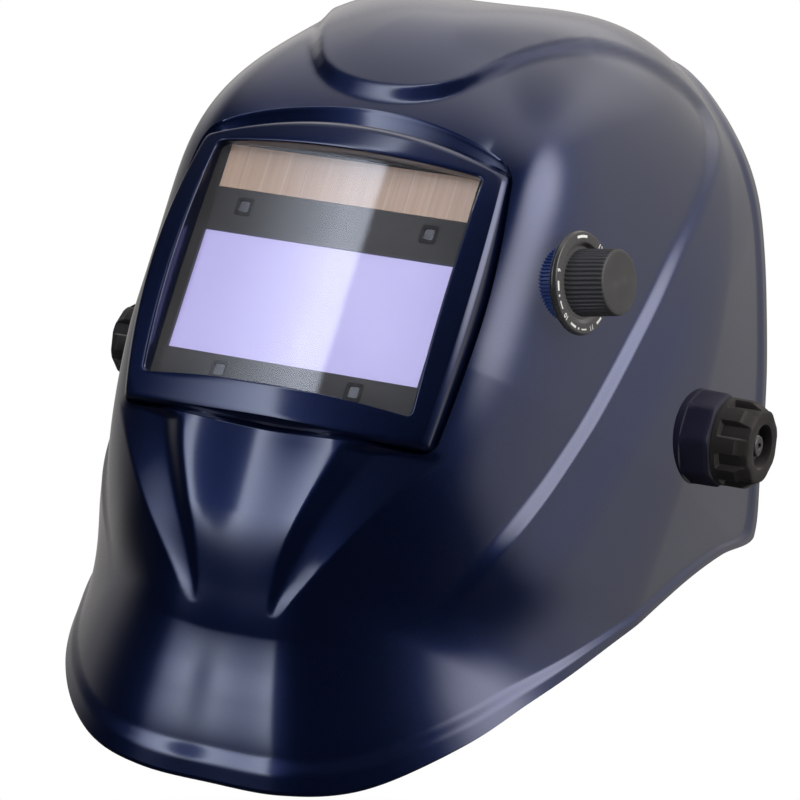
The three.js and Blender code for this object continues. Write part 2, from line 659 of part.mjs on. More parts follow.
// Plan of the forehead band, as a superellipse from ear to ear
function bandPath(x, front, count, spread = 90) {
  const points = [];
  for (let k = 0; k <= count; k++) {
    const a = rad(-spread + 2 * spread * k / count);
    const sx = Math.sign(Math.sin(a)) * Math.abs(Math.sin(a)) ** (2 / 2.2);
    const sy = Math.abs(Math.cos(a)) ** (2 / 2.2);
    points.push([x * sx, BAND_MID_Y + (front - BAND_MID_Y) * sy]);
  }
  return points;
}

function buildHeadband() {
  const path = [[-BAND_X, 56], ...bandPath(BAND_X, BAND_FRONT, 28), [BAND_X, 56]];
  let band = prismZ(strip(path, BAND_WALL), 16, 50);
  // the band is cut lower towards its ends
  const above = prismX([[12, 60], [12, 50], [30, 43], [60, 40], [60, 60]], -100, 100);
  band = cut(band, above);
  for (const [x0, x1] of [[-90, -70], [70, 90]]) {
    band = cut(band, rod(new THREE.Vector3(0, 23.1, 22), AXIS_X, x0, x1, 2.6, 14));
    for (const y of [33, 39, 45]) band = cut(band, block(x0, x1, y - 1.6, y + 1.6, 31, 36));
  }
  for (let k = -4; k <= 4; k++) {
    band = cut(band, block(k * 11 - 3.5, k * 11 + 3.5, -80, -30, 43, 46.5));
  }
  return band;
}

function buildSweatband() {
  const path = bandPath(BAND_X - 5.2, BAND_FRONT + 5.2, 24, 62);
  return prismZ(strip(path, 7.4), 14.5, 48.5);
}

function archPath(x, height, from) {
  const points = [[x, from], [x, 44], [x - 1.5, 58], [x - 7, 72], [x - 17, 84], [x - 31, 92.5],
    [x - 48, 97.6], [x - 64, height - 0.4], [0, height]];
  const other = points.slice(0, -1).map(([px, pz]) => [-px, pz]).reverse();
  return points.concat(other);
}

function buildCrownStrap(raise, side) {
  let outline = prismY(strip(archPath(81, CROWN_Z + raise, 24), 1.6), 30, 46);
  const [x0, x1] = side > 0 ? [-17, 90] : [-90, 17];
  outline = outline.intersect(block(x0, x1, 0, 70, 0, 120));
  for (const x of [-12, -6, 0, 6, 12]) {
    outline = cut(outline, rod(new THREE.Vector3(x, 38, 0), AXIS_Z, 80, 120, 2.6, 14));
  }
  return outline;
}

function buildFrontStrap() {
  const path = [[-68.1, 28], [-68.1, 50], [-65.5, 57], [-52, 71], [-34, 82], [-12, 90.5], [12, 95.6],
    [30, 97.6], [47, 98]];
  const outline = prismX(strip(path, 1.6), -8, 8);
  return cut(outline, rod(new THREE.Vector3(0, 38, 0), AXIS_Z, 90, 110, 2.6, 14));
}

function buildCrownButton() {
  const at = new THREE.Vector3(0, 38, 0);
  return join(
    rod(at, AXIS_Z, 95.4, 103.6, 2.2, 14),
    rod(at, AXIS_Z, 94.2, 96.6, 5, 20),
    rod(at, AXIS_Z, 103.2, 105, 5.5, 20),
  );
}

// Sector of a flat ring about the rear arc's centre, in the strap plane (angles from the rear)
function sector(inner, outer, from, to, z0, z1, count) {
  const at = (angle, r) => [r * Math.sin(rad(angle)), NAPE_MID + r * Math.cos(rad(angle))];
  const points = [];
  for (let k = 0; k <= count; k++) points.push(at(from + (to - from) * k / count, outer));
  for (let k = count; k >= 0; k--) points.push(at(from + (to - from) * k / count, inner));
  return prismZ(points.reverse(), z0, z1);
}

// Slot with teeth along one edge, pushed through the strap
function rackSlot(up) {
  const pitch = 2 * Math.PI * PINION_PITCH_R / PINION_TEETH;
  const half = 16.4;
  const points = [[-half, -up * 6.5]];
  points.push([half, -up * 6.5]);
  points.push([half, up * 6.6]);
  for (let k = 6; k >= -5; k--) {
    const mid = k * pitch - pitch / 2;
    const tip = up * 4.9;
    points.push([mid + 0.62, up * 6.6], [mid + 0.34, tip], [mid - 0.34, tip], [mid - 0.62, up * 6.6]);
  }
  points.push([-half, up * 6.6]);
  return prismY(up > 0 ? points : points.reverse(), NAPE_MID + 60, NAPE_MID + 90);
}

function buildRearStrap(outerR, side, up) {
  const from = side > 0 ? -17.5 : -103;
  const to = side > 0 ? 103 : 17.5;
  const strap = sector(outerR - STRAP_WALL, outerR, from, to, -10, 10, 40);
  return cut(strap, rackSlot(up));
}

function pinionOutline() {
  const points = [];
  for (let k = 0; k < PINION_TEETH; k++) {
    for (const [turn, r] of [[-5.5, 5.9], [5.5, 5.9], [9, 4.3], [21, 4.3]]) {
      const a = rad(360 * k / PINION_TEETH + turn);
      points.push([r * Math.sin(a), r * Math.cos(a)]);
    }
  }
  return points.reverse();
}

function buildPinion() {
  const y = NAPE_MID;
  const teeth = prismY(pinionOutline(), y + 73.3, y + 77);
  const shaft = rod(new THREE.Vector3(0, y, 0), AXIS_Y, 76, 91.5, 2.5, 16);
  return join(teeth, shaft);
}

function buildRatchetHousing() {
  const body = sector(73, 80, -26, 26, -14, 14, 16);
  const channel = sector(70, 77.5, -30, 30, -10.4, 10.4, 18);
  return cut(body, channel, rod(new THREE.Vector3(0, NAPE_MID, 0), AXIS_Y, 70, 90, 2.9, 16));
}

function buildSizeKnob() {
  const outline = flutedOutline(17, 1.1, 12);
  const y = NAPE_MID;
  const body = prismY(outline, y + 81, y + 93);
  const cap = rod(new THREE.Vector3(0, y, 0), AXIS_Y, 92.5, 94.5, 16, 32, 14);
  const bore = rod(new THREE.Vector3(0, y, 0), AXIS_Y, 70, 92, 2.8, 16);
  return cut(join(body, cap), bore);
}

// ---------------------------------------------------------------- assembly

function paint(color, roughness, metalness) {
  return new THREE.MeshStandardMaterial({ color, roughness, metalness });
}

const NAVY = paint(0x10163a, 0.14, 0.35);
const CLEAR = new THREE.MeshStandardMaterial({
  color: 0xe8eef2, roughness: 0.05, metalness: 0, transparent: true, opacity: 0.2,
});
const DARK_GREY = paint(0x34353a, 0.45, 0);
const LILAC = paint(0xc4bdf2, 0.1, 0);
const COPPER = paint(0xb98d6f, 0.35, 0.2);
const BLACK = paint(0x1b1b1c, 0.5, 0);
const GEAR_BLACK = paint(0x202124, 0.6, 0);
const STEEL = paint(0xa8abb0, 0.3, 1);
const FIBRE = paint(0x3a2f28, 0.8, 0);
const GREEN = paint(0x1e5a33, 0.5, 0);
const FOAM = paint(0x26272a, 0.95, 0);

const helmet = new THREE.Group();
const napePlane = new THREE.Group();
napePlane.position.copy(NAPE_PLANE);
napePlane.rotation.x = NAPE_SLOPE;
helmet.add(napePlane);

function piece(name, manifold, material, parent = helmet) {
  const mesh = new THREE.Mesh(geometryOf(manifold), material);
  mesh.name = name;
  parent.add(mesh);
}

function pair(name, manifold, material) {
  piece(`${name}_left`, manifold, material);
  piece(`${name}_right`, mirrorX(manifold), material);
}

piece('shell', buildShell(), NAVY);
piece('front_cover_lens', prismY(roundedRect(-51.6, 51.6, -39.9, 45.8, 2.9), -109.4, -108.2), CLEAR);
const cartridge = buildCartridge();
piece('filter_housing', cartridge.filter_housing, DARK_GREY);
piece('housing_cover', cartridge.housing_cover, DARK_GREY);
piece('filter_glass', cartridge.filter_glass, LILAC);
piece('solar_panel', cartridge.solar_panel, COPPER);
for (let i = 1; i <= 4; i++) piece(`arc_sensor_${i}`, cartridge[`arc_sensor_${i}`], BLACK);
piece('circuit_board', cartridge.circuit_board, GREEN);
for (let i = 1; i <= 2; i++) piece(`battery_${i}`, cartridge[`battery_${i}`], STEEL);
piece('sensitivity_knob', controlKnob(42), BLACK);
piece('delay_knob', controlKnob(-42), BLACK);
piece('lens_frame', buildLensFrame(), DARK_GREY);
piece('cartridge_latch', buildLatch(), BLACK);
piece('inner_cover_lens', block(-50.1, 50.1, -98.1, -97.1, -32.6, 15.2), CLEAR);

piece('dial_scale_ring', buildScaleRing(), BLACK);
piece('shade_knob', buildShadeKnob(), BLACK);
piece('potentiometer', buildPotentiometer(), STEEL);
piece('potentiometer_nut', buildPotNut(), STEEL);
piece('control_lead', pathSolid(leadPath(), 1.6, 26), BLACK);
piece('lead_clip', buildLeadClip(), DARK_GREY);

pair('tension_knob', buildTensionKnob(), BLACK);
pair('pivot_stud', buildStud(), BLACK);
pair('friction_washer', buildWasher(), FIBRE);
pair('stop_plate', buildStopPlate(), GEAR_BLACK);
pair('slide_block', buildSlideBlock(), GEAR_BLACK);
pair('side_arm', buildSideArm(), GEAR_BLACK);
pair('arm_rivet', buildArmRivet(), STEEL);

piece('headband_front', buildHeadband(), GEAR_BLACK);
piece('brow_sweatband', buildSweatband(), FOAM);
piece('crown_strap_left', buildCrownStrap(0, 1), GEAR_BLACK);
piece('crown_strap_right', buildCrownStrap(2, -1), GEAR_BLACK);
piece('crown_strap_front', buildFrontStrap(), GEAR_BLACK);
piece('crown_button', buildCrownButton(), GEAR_BLACK);

piece('rear_strap_left', buildRearStrap(STRAP_OUTER_R, 1, 1), GEAR_BLACK, napePlane);
piece('rear_strap_right', buildRearStrap(STRAP_INNER_R, -1, -1), GEAR_BLACK, napePlane);
piece('ratchet_housing', buildRatchetHousing(), GEAR_BLACK, napePlane);
piece('ratchet_cover', sector(69.9, 72.7, -26, 26, -14, 14, 16), GEAR_BLACK, napePlane);
piece('ratchet_pinion', buildPinion(), GEAR_BLACK, napePlane);
piece('size_knob', buildSizeKnob(), BLACK, napePlane);
piece('nape_pad', sector(63, 69.6, -24, 24, -15, 15, 14), FOAM, napePlane);

export default helmet;
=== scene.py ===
# Looks of the auto-darkening welding helmet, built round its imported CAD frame.
# Lengths in the building code are millimetres, turned into metres when a mesh is made.
import json
import math

import bmesh
import bpy
import numpy as np
from mathutils import Matrix, Vector

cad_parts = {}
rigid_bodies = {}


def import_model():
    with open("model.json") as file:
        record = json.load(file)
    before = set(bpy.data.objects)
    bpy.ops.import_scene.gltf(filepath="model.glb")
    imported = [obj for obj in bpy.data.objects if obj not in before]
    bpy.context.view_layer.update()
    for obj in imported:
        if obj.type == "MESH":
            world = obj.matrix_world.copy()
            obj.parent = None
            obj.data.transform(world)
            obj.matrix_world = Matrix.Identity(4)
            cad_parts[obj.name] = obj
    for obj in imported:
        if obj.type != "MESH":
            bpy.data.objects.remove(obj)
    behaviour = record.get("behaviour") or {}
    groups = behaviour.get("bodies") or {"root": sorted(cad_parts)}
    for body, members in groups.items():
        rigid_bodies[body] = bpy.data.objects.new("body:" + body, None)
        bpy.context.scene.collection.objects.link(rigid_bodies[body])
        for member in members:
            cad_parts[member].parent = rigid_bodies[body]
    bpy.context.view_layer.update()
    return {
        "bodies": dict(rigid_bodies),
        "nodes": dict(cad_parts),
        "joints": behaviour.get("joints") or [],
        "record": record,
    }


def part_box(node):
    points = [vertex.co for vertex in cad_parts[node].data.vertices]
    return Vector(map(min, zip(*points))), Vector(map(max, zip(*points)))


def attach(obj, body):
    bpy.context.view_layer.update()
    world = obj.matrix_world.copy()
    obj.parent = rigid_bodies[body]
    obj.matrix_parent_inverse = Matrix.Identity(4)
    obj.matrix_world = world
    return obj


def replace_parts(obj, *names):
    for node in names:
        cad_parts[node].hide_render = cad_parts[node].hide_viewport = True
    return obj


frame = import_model()
nodes = frame["nodes"]
MM = 0.001


# ---------------- small helpers

def ease(x, a, b):
    t = np.clip((np.asarray(x, float) - a) / (b - a), 0, 1)
    return t * t * (3 - 2 * t)


def smooth_max(a, b, k):
    h = np.maximum(k - np.abs(a - b), 0) / k
    return np.maximum(a, b) + h * h * k / 4


def smooth_min(a, b, k):
    return -smooth_max(-a, -b, k)


def unit(v):
    """An array scaled as a whole to length 1."""
    v = np.asarray(v, float)
    return v / np.linalg.norm(v)


def basis(axis):
    """Axis, then two directions across it: right and up as seen by someone facing the axis."""
    axis = unit(axis)
    right = unit(np.cross((0, 0, 1), axis))
    return axis, right, np.cross(axis, right)


def squared_off(x, power):
    """A sine or cosine bent towards -1 and 1, which makes a circle squarer."""
    return np.sign(x) * np.abs(x) ** power


def full_turn(count):
    return np.linspace(0, 2 * math.pi, count, endpoint=False)


def distance_along(line):
    steps = np.linalg.norm(np.diff(line, axis=0), axis=1)
    return np.concatenate([[0], np.cumsum(steps)])


def from_nearest_flat(angle, sides):
    """Angle away from the middle of the nearest flat of a regular outline with that many sides."""
    half = math.pi / sides
    return (angle + half) % (2 * half) - half


# ---------------- materials

class Nodes:
    """Short calls for the nodes of one tree. A value is a number, a colour or another node's socket."""

    def __init__(self, tree):
        self.tree = tree

    def feed(self, socket, value):
        if isinstance(value, bpy.types.NodeSocket):
            self.tree.links.new(value, socket)
        else:
            socket.default_value = value

    def node(self, kind, **inputs):
        made = self.tree.nodes.new("ShaderNode" + kind)
        for key, value in inputs.items():
            self.feed(made.inputs[key.replace("_", " ")], value)
        return made

    def spread(self, value, low, high, out_low=0.0, out_high=1.0, kind="LINEAR"):
        """Maps low..high to out_low..out_high and holds it there past both ends."""
        made = self.node("MapRange", Value=value, From_Min=low, From_Max=high,
                         To_Min=out_low, To_Max=out_high)
        made.interpolation_type = kind
        return made.outputs["Result"]

    def math(self, operation, a, b=0.0):
        made = self.node("Math")
        made.operation = operation
        self.feed(made.inputs[0], a)
        self.feed(made.inputs[1], b)
        return made.outputs[0]

    def times(self, first, *others):
        for other in others:
            first = self.math("MULTIPLY", first, other)
        return first


class Paint(Nodes):
    """A node material on one Principled shader."""

    def __init__(self, name, color, roughness, metallic=0.0, **sockets):
        self.material = bpy.data.materials.new(name)
        self.material.use_nodes = True
        super().__init__(self.material.node_tree)
        self.shader = self.tree.nodes["Principled BSDF"]
        sockets |= {"Base_Color": (*color, 1), "Roughness": roughness, "Metallic": metallic}
        for key, value in sockets.items():
            self.shader.inputs[key.replace("_", " ")].default_value = value
        self.coords = self.node("TexCoord").outputs["Object"]
        self.bump_end = None

    def stretched(self, scale, turn=(0, 0, 0)):
        return self.node("Mapping", Vector=self.coords, Scale=scale, Rotation=turn).outputs["Vector"]

    def noise(self, scale, detail, vector=None):
        return self.node("TexNoise", Vector=vector or self.coords, Scale=scale, Detail=detail).outputs["Fac"]

    def mix(self, factor, a, b):
        """Colour a where factor is 0 and b where it is 1."""
        made = self.node("Mix")
        made.data_type = "RGBA"
        self.feed(made.inputs["Factor"], factor)
        sockets = [s for s in made.inputs if s.type == "RGBA"]
        for socket, value in zip(sockets, (a, b)):
            self.feed(socket, (*value, 1) if isinstance(value, tuple) else value)
        return [s for s in made.outputs if s.type == "RGBA"][0]

    def set_color(self, value):
        self.feed(self.shader.inputs["Base Color"], value)

    def set_roughness(self, value):
        self.feed(self.shader.inputs["Roughness"], value)

    def bump(self, height, distance, strength=1.0):
        """Distance is in metres. Later bumps add to earlier ones."""
        made = self.node("Bump", Height=height, Strength=strength, Distance=distance)
        if self.bump_end is not None:
            self.feed(made.inputs["Normal"], self.bump_end)
        self.bump_end = made.outputs["Normal"]
        self.feed(self.shader.inputs["Normal"], self.bump_end)

    def edge(self):
        """1 on outward edges, 0 elsewhere."""
        return self.spread(self.node("NewGeometry").outputs["Pointiness"], 0.52, 0.62)


def shade_of(color, factor, lift=0.0):
    return tuple(min(1, c * factor + lift) for c in color)


def plastic(name, color, roughness, grain=2600, depth=0.00003, shade=0.25, wear=0.25, **sockets):
    """Moulded plastic: fine grain, patches of slightly different shade, paler rubbed edges."""
    p = Paint(name, color, roughness, **sockets)
    patches = p.spread(p.noise(28, 4), 0.35, 0.65)
    toned = p.mix(patches, shade_of(color, 1 - shade), shade_of(color, 1 + shade, 0.004))
    p.set_color(p.mix(p.times(p.edge(), wear), toned, shade_of(color, 1.8, 0.03)))
    p.set_roughness(p.spread(p.noise(90, 3), 0.3, 0.7, roughness - 0.06, min(1, roughness + 0.08)))
    p.bump(p.noise(grain, 2), depth)
    return p.material


def pale_floor():
    """Seamless studio floor, the same pale tone all over."""
    p = Paint("floor_pale", (0.765, 0.79, 0.82), 0.9)
    p.set_color(p.mix(p.noise(3, 1), (0.763, 0.788, 0.818), (0.767, 0.792, 0.822)))
    return p.material


def navy_paint():
    """Deep navy moulding with metallic flake under a hard clear gloss."""
    p = Paint("navy_gloss", (0.004, 0.010, 0.046), 0.36, metallic=0.85, Coat_Weight=1.0, Coat_Roughness=0.11)
    flake = p.node("TexVoronoi", Vector=p.coords, Scale=3600)
    glint = p.spread(flake.outputs["Color"], 0.2, 1.0)
    depth = p.spread(p.noise(14, 3), 0.3, 0.7)
    body = p.mix(depth, (0.0035, 0.009, 0.040), (0.005, 0.012, 0.054))
    p.set_color(p.mix(p.times(glint, 0.35), body, (0.012, 0.026, 0.11)))
    p.set_roughness(p.spread(glint, 0, 1, 0.32, 0.42))
    p.bump(p.noise(420, 2), 0.000012, 0.4)
    return p.material


def lilac_glass():
    """Liquid crystal shutter at rest: a violet interference coating, with an emission that is painted glow,
    standing in for the light shining through it from behind.
    """
    p = Paint("filter_lilac_painted_glow", (0.30, 0.28, 0.50), 0.12, Coat_Weight=0.6, Coat_Roughness=0.03,
              Emission_Color=(0.58, 0.52, 1.0, 1), Emission_Strength=0.72)
    p.set_color(p.mix(p.spread(p.noise(9, 2), 0.3, 0.7), (0.28, 0.26, 0.50), (0.33, 0.31, 0.52)))
    p.set_roughness(p.spread(p.noise(60, 2), 0.3, 0.7, 0.09, 0.16))
    p.bump(p.noise(700, 1), 0.000004, 0.3)
    return p.material


def solar_cells(left, pitch):
    """Copper coloured cells in columns, with pale laser lines between and fine brushed streaks."""
    p = Paint("solar_copper", (0.52, 0.33, 0.22), 0.3, Coat_Weight=0.8, Coat_Roughness=0.04)
    x = p.node("SeparateXYZ", Vector=p.coords).outputs["X"]
    place = p.math("DIVIDE", p.math("SUBTRACT", x, left), pitch)
    from_middle = p.math("ABSOLUTE", p.math("SUBTRACT", p.math("FRACT", place), 0.5))
    line = p.spread(from_middle, 0.475, 0.49)
    streak = p.noise(600, 3, p.stretched((1, 1, 0.012)))
    cell = p.mix(p.spread(streak, 0.35, 0.65), (0.62, 0.40, 0.26), (0.76, 0.50, 0.34))
    tint = p.noise(1, 0, p.stretched((22, 0, 0)))
    cell = p.mix(p.spread(tint, 0.3, 0.7, 0, 0.35), cell, (0.78, 0.56, 0.40))
    p.set_color(p.mix(p.times(line, 0.55), cell, (0.90, 0.74, 0.58)))
    p.bump(streak, 0.00001, 0.3)
    return p.material


def clear_sheet():
    """Clear polycarbonate: see-through, with a sharp reflection and faint scuffs."""
    p = Paint("clear_cover", (0.05, 0.05, 0.055), 0.02, IOR=2.2, Alpha=0.2)
    scuffs = p.spread(p.noise(900, 4, p.stretched((1, 1, 0.2), (0, 0.6, 0))), 0.62, 0.75)
    p.set_roughness(p.spread(scuffs, 0, 1, 0.015, 0.09))
    p.set_color(p.mix(scuffs, (0.05, 0.05, 0.055), (0.06, 0.06, 0.065)))
    return p.material


def metal(name, color, roughness, streaks):
    """Metal brushed along the axes whose share in `streaks` is small."""
    p = Paint(name, color, roughness, metallic=1.0)
    brushed = p.noise(500, 4, p.stretched(streaks))
    p.set_color(p.mix(p.spread(brushed, 0.3, 0.7), shade_of(color, 0.82), color))
    p.set_roughness(p.spread(brushed, 0.3, 0.7, roughness - 0.06, roughness + 0.12))
    p.bump(brushed, 0.00001, 0.5)
    return p.material


def woven(name, color):
    """Knitted cover cloth: two crossing sets of threads with fuzz, laid over the pad in its own space."""
    p = Paint(name, color, 0.92, Sheen_Weight=0.35, Sheen_Roughness=0.5, Specular_IOR_Level=0.2)

    def threads(scale, turn):
        waves = p.node("TexWave", Vector=p.stretched(scale, turn), Scale=1 / THREAD_PITCH / 6.28,
                       Distortion=0.6)
        return waves.outputs["Fac"]

    weave = p.times(threads((1, 1, 0), (0, 0, 0)), threads((0, 0, 1), (0, 1.5708, 0)))
    fuzz = p.noise(1800, 4)
    tone = p.spread(p.math("ADD", weave, p.times(fuzz, 0.5)), 0.1, 1.1)
    knit = p.mix(tone, shade_of(color, 0.5), shade_of(color, 2.0, 0.01))
    worn = p.spread(p.noise(35, 3), 0.45, 0.75, 0, 0.3)
    p.set_color(p.mix(worn, knit, shade_of(color, 2.4)))
    p.bump(weave, 0.00022, 0.8)
    p.bump(fuzz, 0.00012, 0.5)
    return p.material


THREAD_PITCH = 0.0009       # metres
NAVY = navy_paint()
BOSS = plastic("boss_navy", (0.003, 0.003, 0.013), 0.45, grain=1500, wear=0.0,
               Specular_IOR_Level=0.25)
BLUE_BOSS = plastic("boss_blue", (0.003, 0.018, 0.10), 0.4, grain=1500)
CASE = plastic("case_grey", (0.060, 0.060, 0.062), 0.42, depth=0.000004, wear=0.1)
FRAME_GREY = plastic("frame_grey", (0.050, 0.050, 0.054), 0.5)
KNOB = plastic("knob_black", (0.020, 0.020, 0.021), 0.42, grain=3200, depth=0.00004, wear=0.35)
GRIP = plastic("grip_black", (0.0075, 0.006, 0.0055), 0.52, grain=2600, depth=0.00004, wear=0.3,
               Specular_IOR_Level=0.25)
RING = plastic("ring_black", (0.016, 0.016, 0.017), 0.24, grain=1800, depth=0.00001, wear=0.2,
               Coat_Weight=0.3, Coat_Roughness=0.12)
GEAR = plastic("headgear_black", (0.026, 0.026, 0.029), 0.5, grain=1500, depth=0.00005)
LEAD = plastic("lead_rubber", (0.018, 0.018, 0.018), 0.62, grain=4000, depth=0.00004, wear=0.1)
SENSOR = plastic("sensor_dark", (0.010, 0.010, 0.012), 0.12, grain=500, depth=0.000004, wear=0.0,
                 Coat_Weight=0.3)
BEZEL = plastic("sensor_bezel", (0.003, 0.003, 0.003), 0.4, grain=900, depth=0.000006, wear=0.1)
FIBRE = plastic("washer_fibre", (0.11, 0.075, 0.05), 0.85, grain=900, depth=0.0001, shade=0.4)
BOARD = plastic("board_green", (0.015, 0.10, 0.045), 0.4, grain=700, depth=0.00003, shade=0.35)
WHITE_INK = plastic("white_ink", (0.72, 0.72, 0.70), 0.5, grain=3000, depth=0.00001, shade=0.08, wear=0.0)
THREAD = plastic("seam_thread", (0.09, 0.09, 0.10), 0.8, grain=5000, depth=0.00008, wear=0.0)
STEEL = metal("zinc_steel", (0.60, 0.60, 0.62), 0.34, (1, 0.1, 0.1))
BLACK_STEEL = metal("blackened_steel", (0.10, 0.10, 0.10), 0.36, (0.1, 1, 1))
CELL_STEEL = metal("battery_steel", (0.66, 0.66, 0.67), 0.3, (1, 0.05, 1))
LILAC_PAINTED_GLOW = lilac_glass()
CLEAR = clear_sheet()
CLOTH = woven("pad_cloth", (0.028, 0.028, 0.032))


# ---------------- making pieces

SHARP = 35      # degrees between two faces from which their edge counts as an edge


def place_in_scene(name, data):
    holder = bpy.data.objects.new(name, data)
    bpy.context.scene.collection.objects.link(holder)
    return holder


def make(name, points, faces, body, paint, slot, sharp=SHARP):
    """points in millimetres. Adjoining faces that meet at more than `sharp` degrees keep a hard edge."""
    mesh = bpy.data.meshes.new(name)
    mesh.from_pydata((np.asarray(points, float) * MM).tolist(), [], [list(map(int, f)) for f in faces])
    mesh.validate()
    mesh.polygons.foreach_set("use_smooth", [True] * len(mesh.polygons))
    mesh.set_sharp_from_angle(angle=math.radians(sharp))
    piece = place_in_scene(name, mesh)
    mesh.materials.append(paint)
    outward(mesh)
    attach(piece, body)
    return piece


def outward(mesh):
    """Turns a closed mesh's faces outward, body by body."""
    b = bmesh.new()
    b.from_mesh(mesh)
    bmesh.ops.recalc_face_normals(b, faces=b.faces)
    b.to_mesh(mesh)
    b.free()


def loft(rows, ring=True):
    """Quads over rows of points. Each row closes on itself, and the last meets the first if ring is set."""
    rows = np.asarray(rows, float)
    count, around = rows.shape[:2]
    here = np.arange(count * around).reshape(count, around)
    beside = np.roll(here, -1, axis=1)
    after, after_beside = np.roll(here, -1, axis=0), np.roll(beside, -1, axis=0)
    keep = slice(None) if ring else slice(0, count - 1)
    quads = np.stack([here[keep], beside[keep], after_beside[keep], after[keep]], -1).reshape(-1, 4)
    return rows.reshape(-1, 3), quads


def joined(*parts):
    """Several (points, faces) as one."""
    points, faces, base = [], [], 0
    for p, f in parts:
        points.extend(np.asarray(p).tolist())
        faces.extend([[i + base for i in face] for face in f])
        base += len(p)
    return points, faces


def turned(centre, axis, profile, around, radius_at=None):
    """Closed ring body. The profile holds (distance along the axis, radius) and radius_at(angle, radius, k)
    may change the radius of its point k."""
    axis, right, top = basis(axis)
    angle = full_turn(around)
    rows = []
    for k, (along, radius) in enumerate(profile):
        r = np.full(around, float(radius)) if radius_at is None else radius_at(angle, radius, k)
        rows.append(np.asarray(centre) + np.outer(np.full(around, along), axis)
                    + np.outer(r * np.cos(angle), right) + np.outer(r * np.sin(angle), top))
    return loft(rows)


def rounded(profile):
    """A closed outline with rounded corners: entries are (a, b, radius of the corner)."""
    points = [np.array(entry[:2], float) for entry in profile]
    out = []
    for i, (p, (_, _, radius)) in enumerate(zip(points, profile)):
        if radius == 0:
            out.append(tuple(p))
            continue
        back, on = points[i - 1] - p, points[(i + 1) % len(points)] - p
        start = p + unit(back) * min(radius, 0.45 * np.linalg.norm(back))
        end = p + unit(on) * min(radius, 0.45 * np.linalg.norm(on))
        for t in (0, 1 / 3, 2 / 3, 1):
            out.append(tuple((1 - t) ** 2 * start + 2 * t * (1 - t) * p + t * t * end))
    return out


def dress(node, paint, bevel=0.0):
    """A CAD node keeps its mesh, with a finished material and softened edges."""
    piece = nodes[node]
    piece.data.materials.clear()
    piece.data.materials.append(paint)
    if bevel:
        mod = piece.modifiers.new("soft_edges", "BEVEL")
        mod.width = bevel * MM
        mod.segments = 2
        mod.limit_method = "ANGLE"
        mod.angle_limit = math.radians(SHARP)


# ---------------- shell surface

# The surface is measured outward from CENTRE. psi turns from the crown (0) round to the chin (180),
# and alpha opens from straight ahead. Both are in degrees.
CENTRE = np.array([0.0, 0.0, -25.0])
WALL = 2.75
RIM_WALL = 3.9
COLUMNS = 540
PSI = -180 + 360 * np.arange(COLUMNS) / COLUMNS

# Lines on the shell, as (psi, alpha): its rim, and the ridge where the raised crown and cheeks begin
RIM = np.array([[0, 94.6], [20, 94.5], [35, 98], [48, 104.5], [60, 112], [72, 119], [84, 124.5],
                [92, 114.5], [104, 100.3], [122, 81.6], [135, 72], [143, 68.1], [150, 65.7], [159, 64],
                [168, 62.8], [180, 62.6]])
RIDGE = np.array([[0, 43.4], [5, 43.7], [9, 44.5], [13, 46.1], [16.3, 49.2], [18.3, 54], [19.7, 60.3],
                  [21, 67.3], [22.7, 73.5], [24.3, 79.5], [26, 86], [28.6, 87.6], [33.9, 85.1],
                  [40.9, 80.4], [49, 74.3], [59.5, 68.2], [65.8, 65], [78, 60], [93, 55.2], [105.7, 52.4],
                  [114, 51.1], [123, 50.4], [129, 50.8], [139, 52], [146, 53.4]])
RIDGE_STEP = 5.7
CROWN_SHOULDER = 2.6
CHEEK_SHOULDER = 2.8
CHIN_FLARE = 10.4
CHIN_FLATTENING = 1.6
MM_PER_DEGREE = 1.9
BEAD = 1.5

# Plain shell under the ridges: half sizes of its outline in plan, and the dome that closes it above
HALF_WIDTH = 100.2
WIDEST_Y = 20
HALF_LENGTH = 132.1
DOME_HEIGHT = 138
DOME_POWER = 2.73

# Window outlines: half width, side bulge, bottom, its sag, top, its arch, corner radius
OPENING = (52.0, 1.1, -42.0, -1.7, 45.5, 2.1, 2.5)
FACE = (59.6, 3.9, -51.2, 1.8, 48.8, 9.4, 1.8)
BROW = (61.3, 3.9, -52.4, 2.9, 51.0, 15.8, 5.0)
POCKET = (56.2, 0.0, -43.2, 0.0, 49.2, 0.0, 2.0)
POCKET_FRONT, POCKET_BACK = -107.7, -98.4
LENS_GAP = 0.35


def section(p):
    """Below 0 inside the plain shell: squarish in plan at the window, rounder at the crown and the chin."""
    x, y, z = p[..., 0], p[..., 1], p[..., 2]
    chin = np.maximum(-52.2 - z, 0)
    open_back = 400.0
    length = np.where(y < WIDEST_Y, HALF_LENGTH - 0.0036 * chin * chin, open_back)
    ahead = np.maximum(-y, 0)
    width = HALF_WIDTH - 0.27 * ahead * ahead / (ahead + 15) - 0.049 * np.maximum(-20 - z, 0)
    crown = ease(z, 40, 110)
    corner = 8 - 4.5 * crown - 5.26 * ease(-z, 10, 110)
    across = np.abs(x / width) ** (corner * (1 + 0.36 * crown))
    along = np.abs((y - WIDEST_Y) / length) ** corner
    dome = np.maximum((z + 1) / DOME_HEIGHT, 0) ** DOME_POWER
    return (across + along) ** (DOME_POWER / corner) + dome - 1


def halve(test, low, high, rounds):
    """Closes in on the place between low and high where test turns from true to false."""
    for _ in range(rounds):
        mid = (low + high) / 2
        inside = test(mid)
        low, high = np.where(inside, mid, low), np.where(inside, high, mid)
    return low


def direction(psi, alpha):
    p, a = np.radians(psi), np.radians(alpha)
    return np.stack([np.sin(a) * np.sin(p), -np.cos(a), np.sin(a) * np.cos(p)], -1)


def reach(way):
    """How far the plain shell is from CENTRE in a direction."""
    near, far = np.full(way.shape[:-1], 10.0), np.full(way.shape[:-1], 330.0)
    return halve(lambda r: section(CENTRE + way * r[..., None]) < 0, near, far, 34)


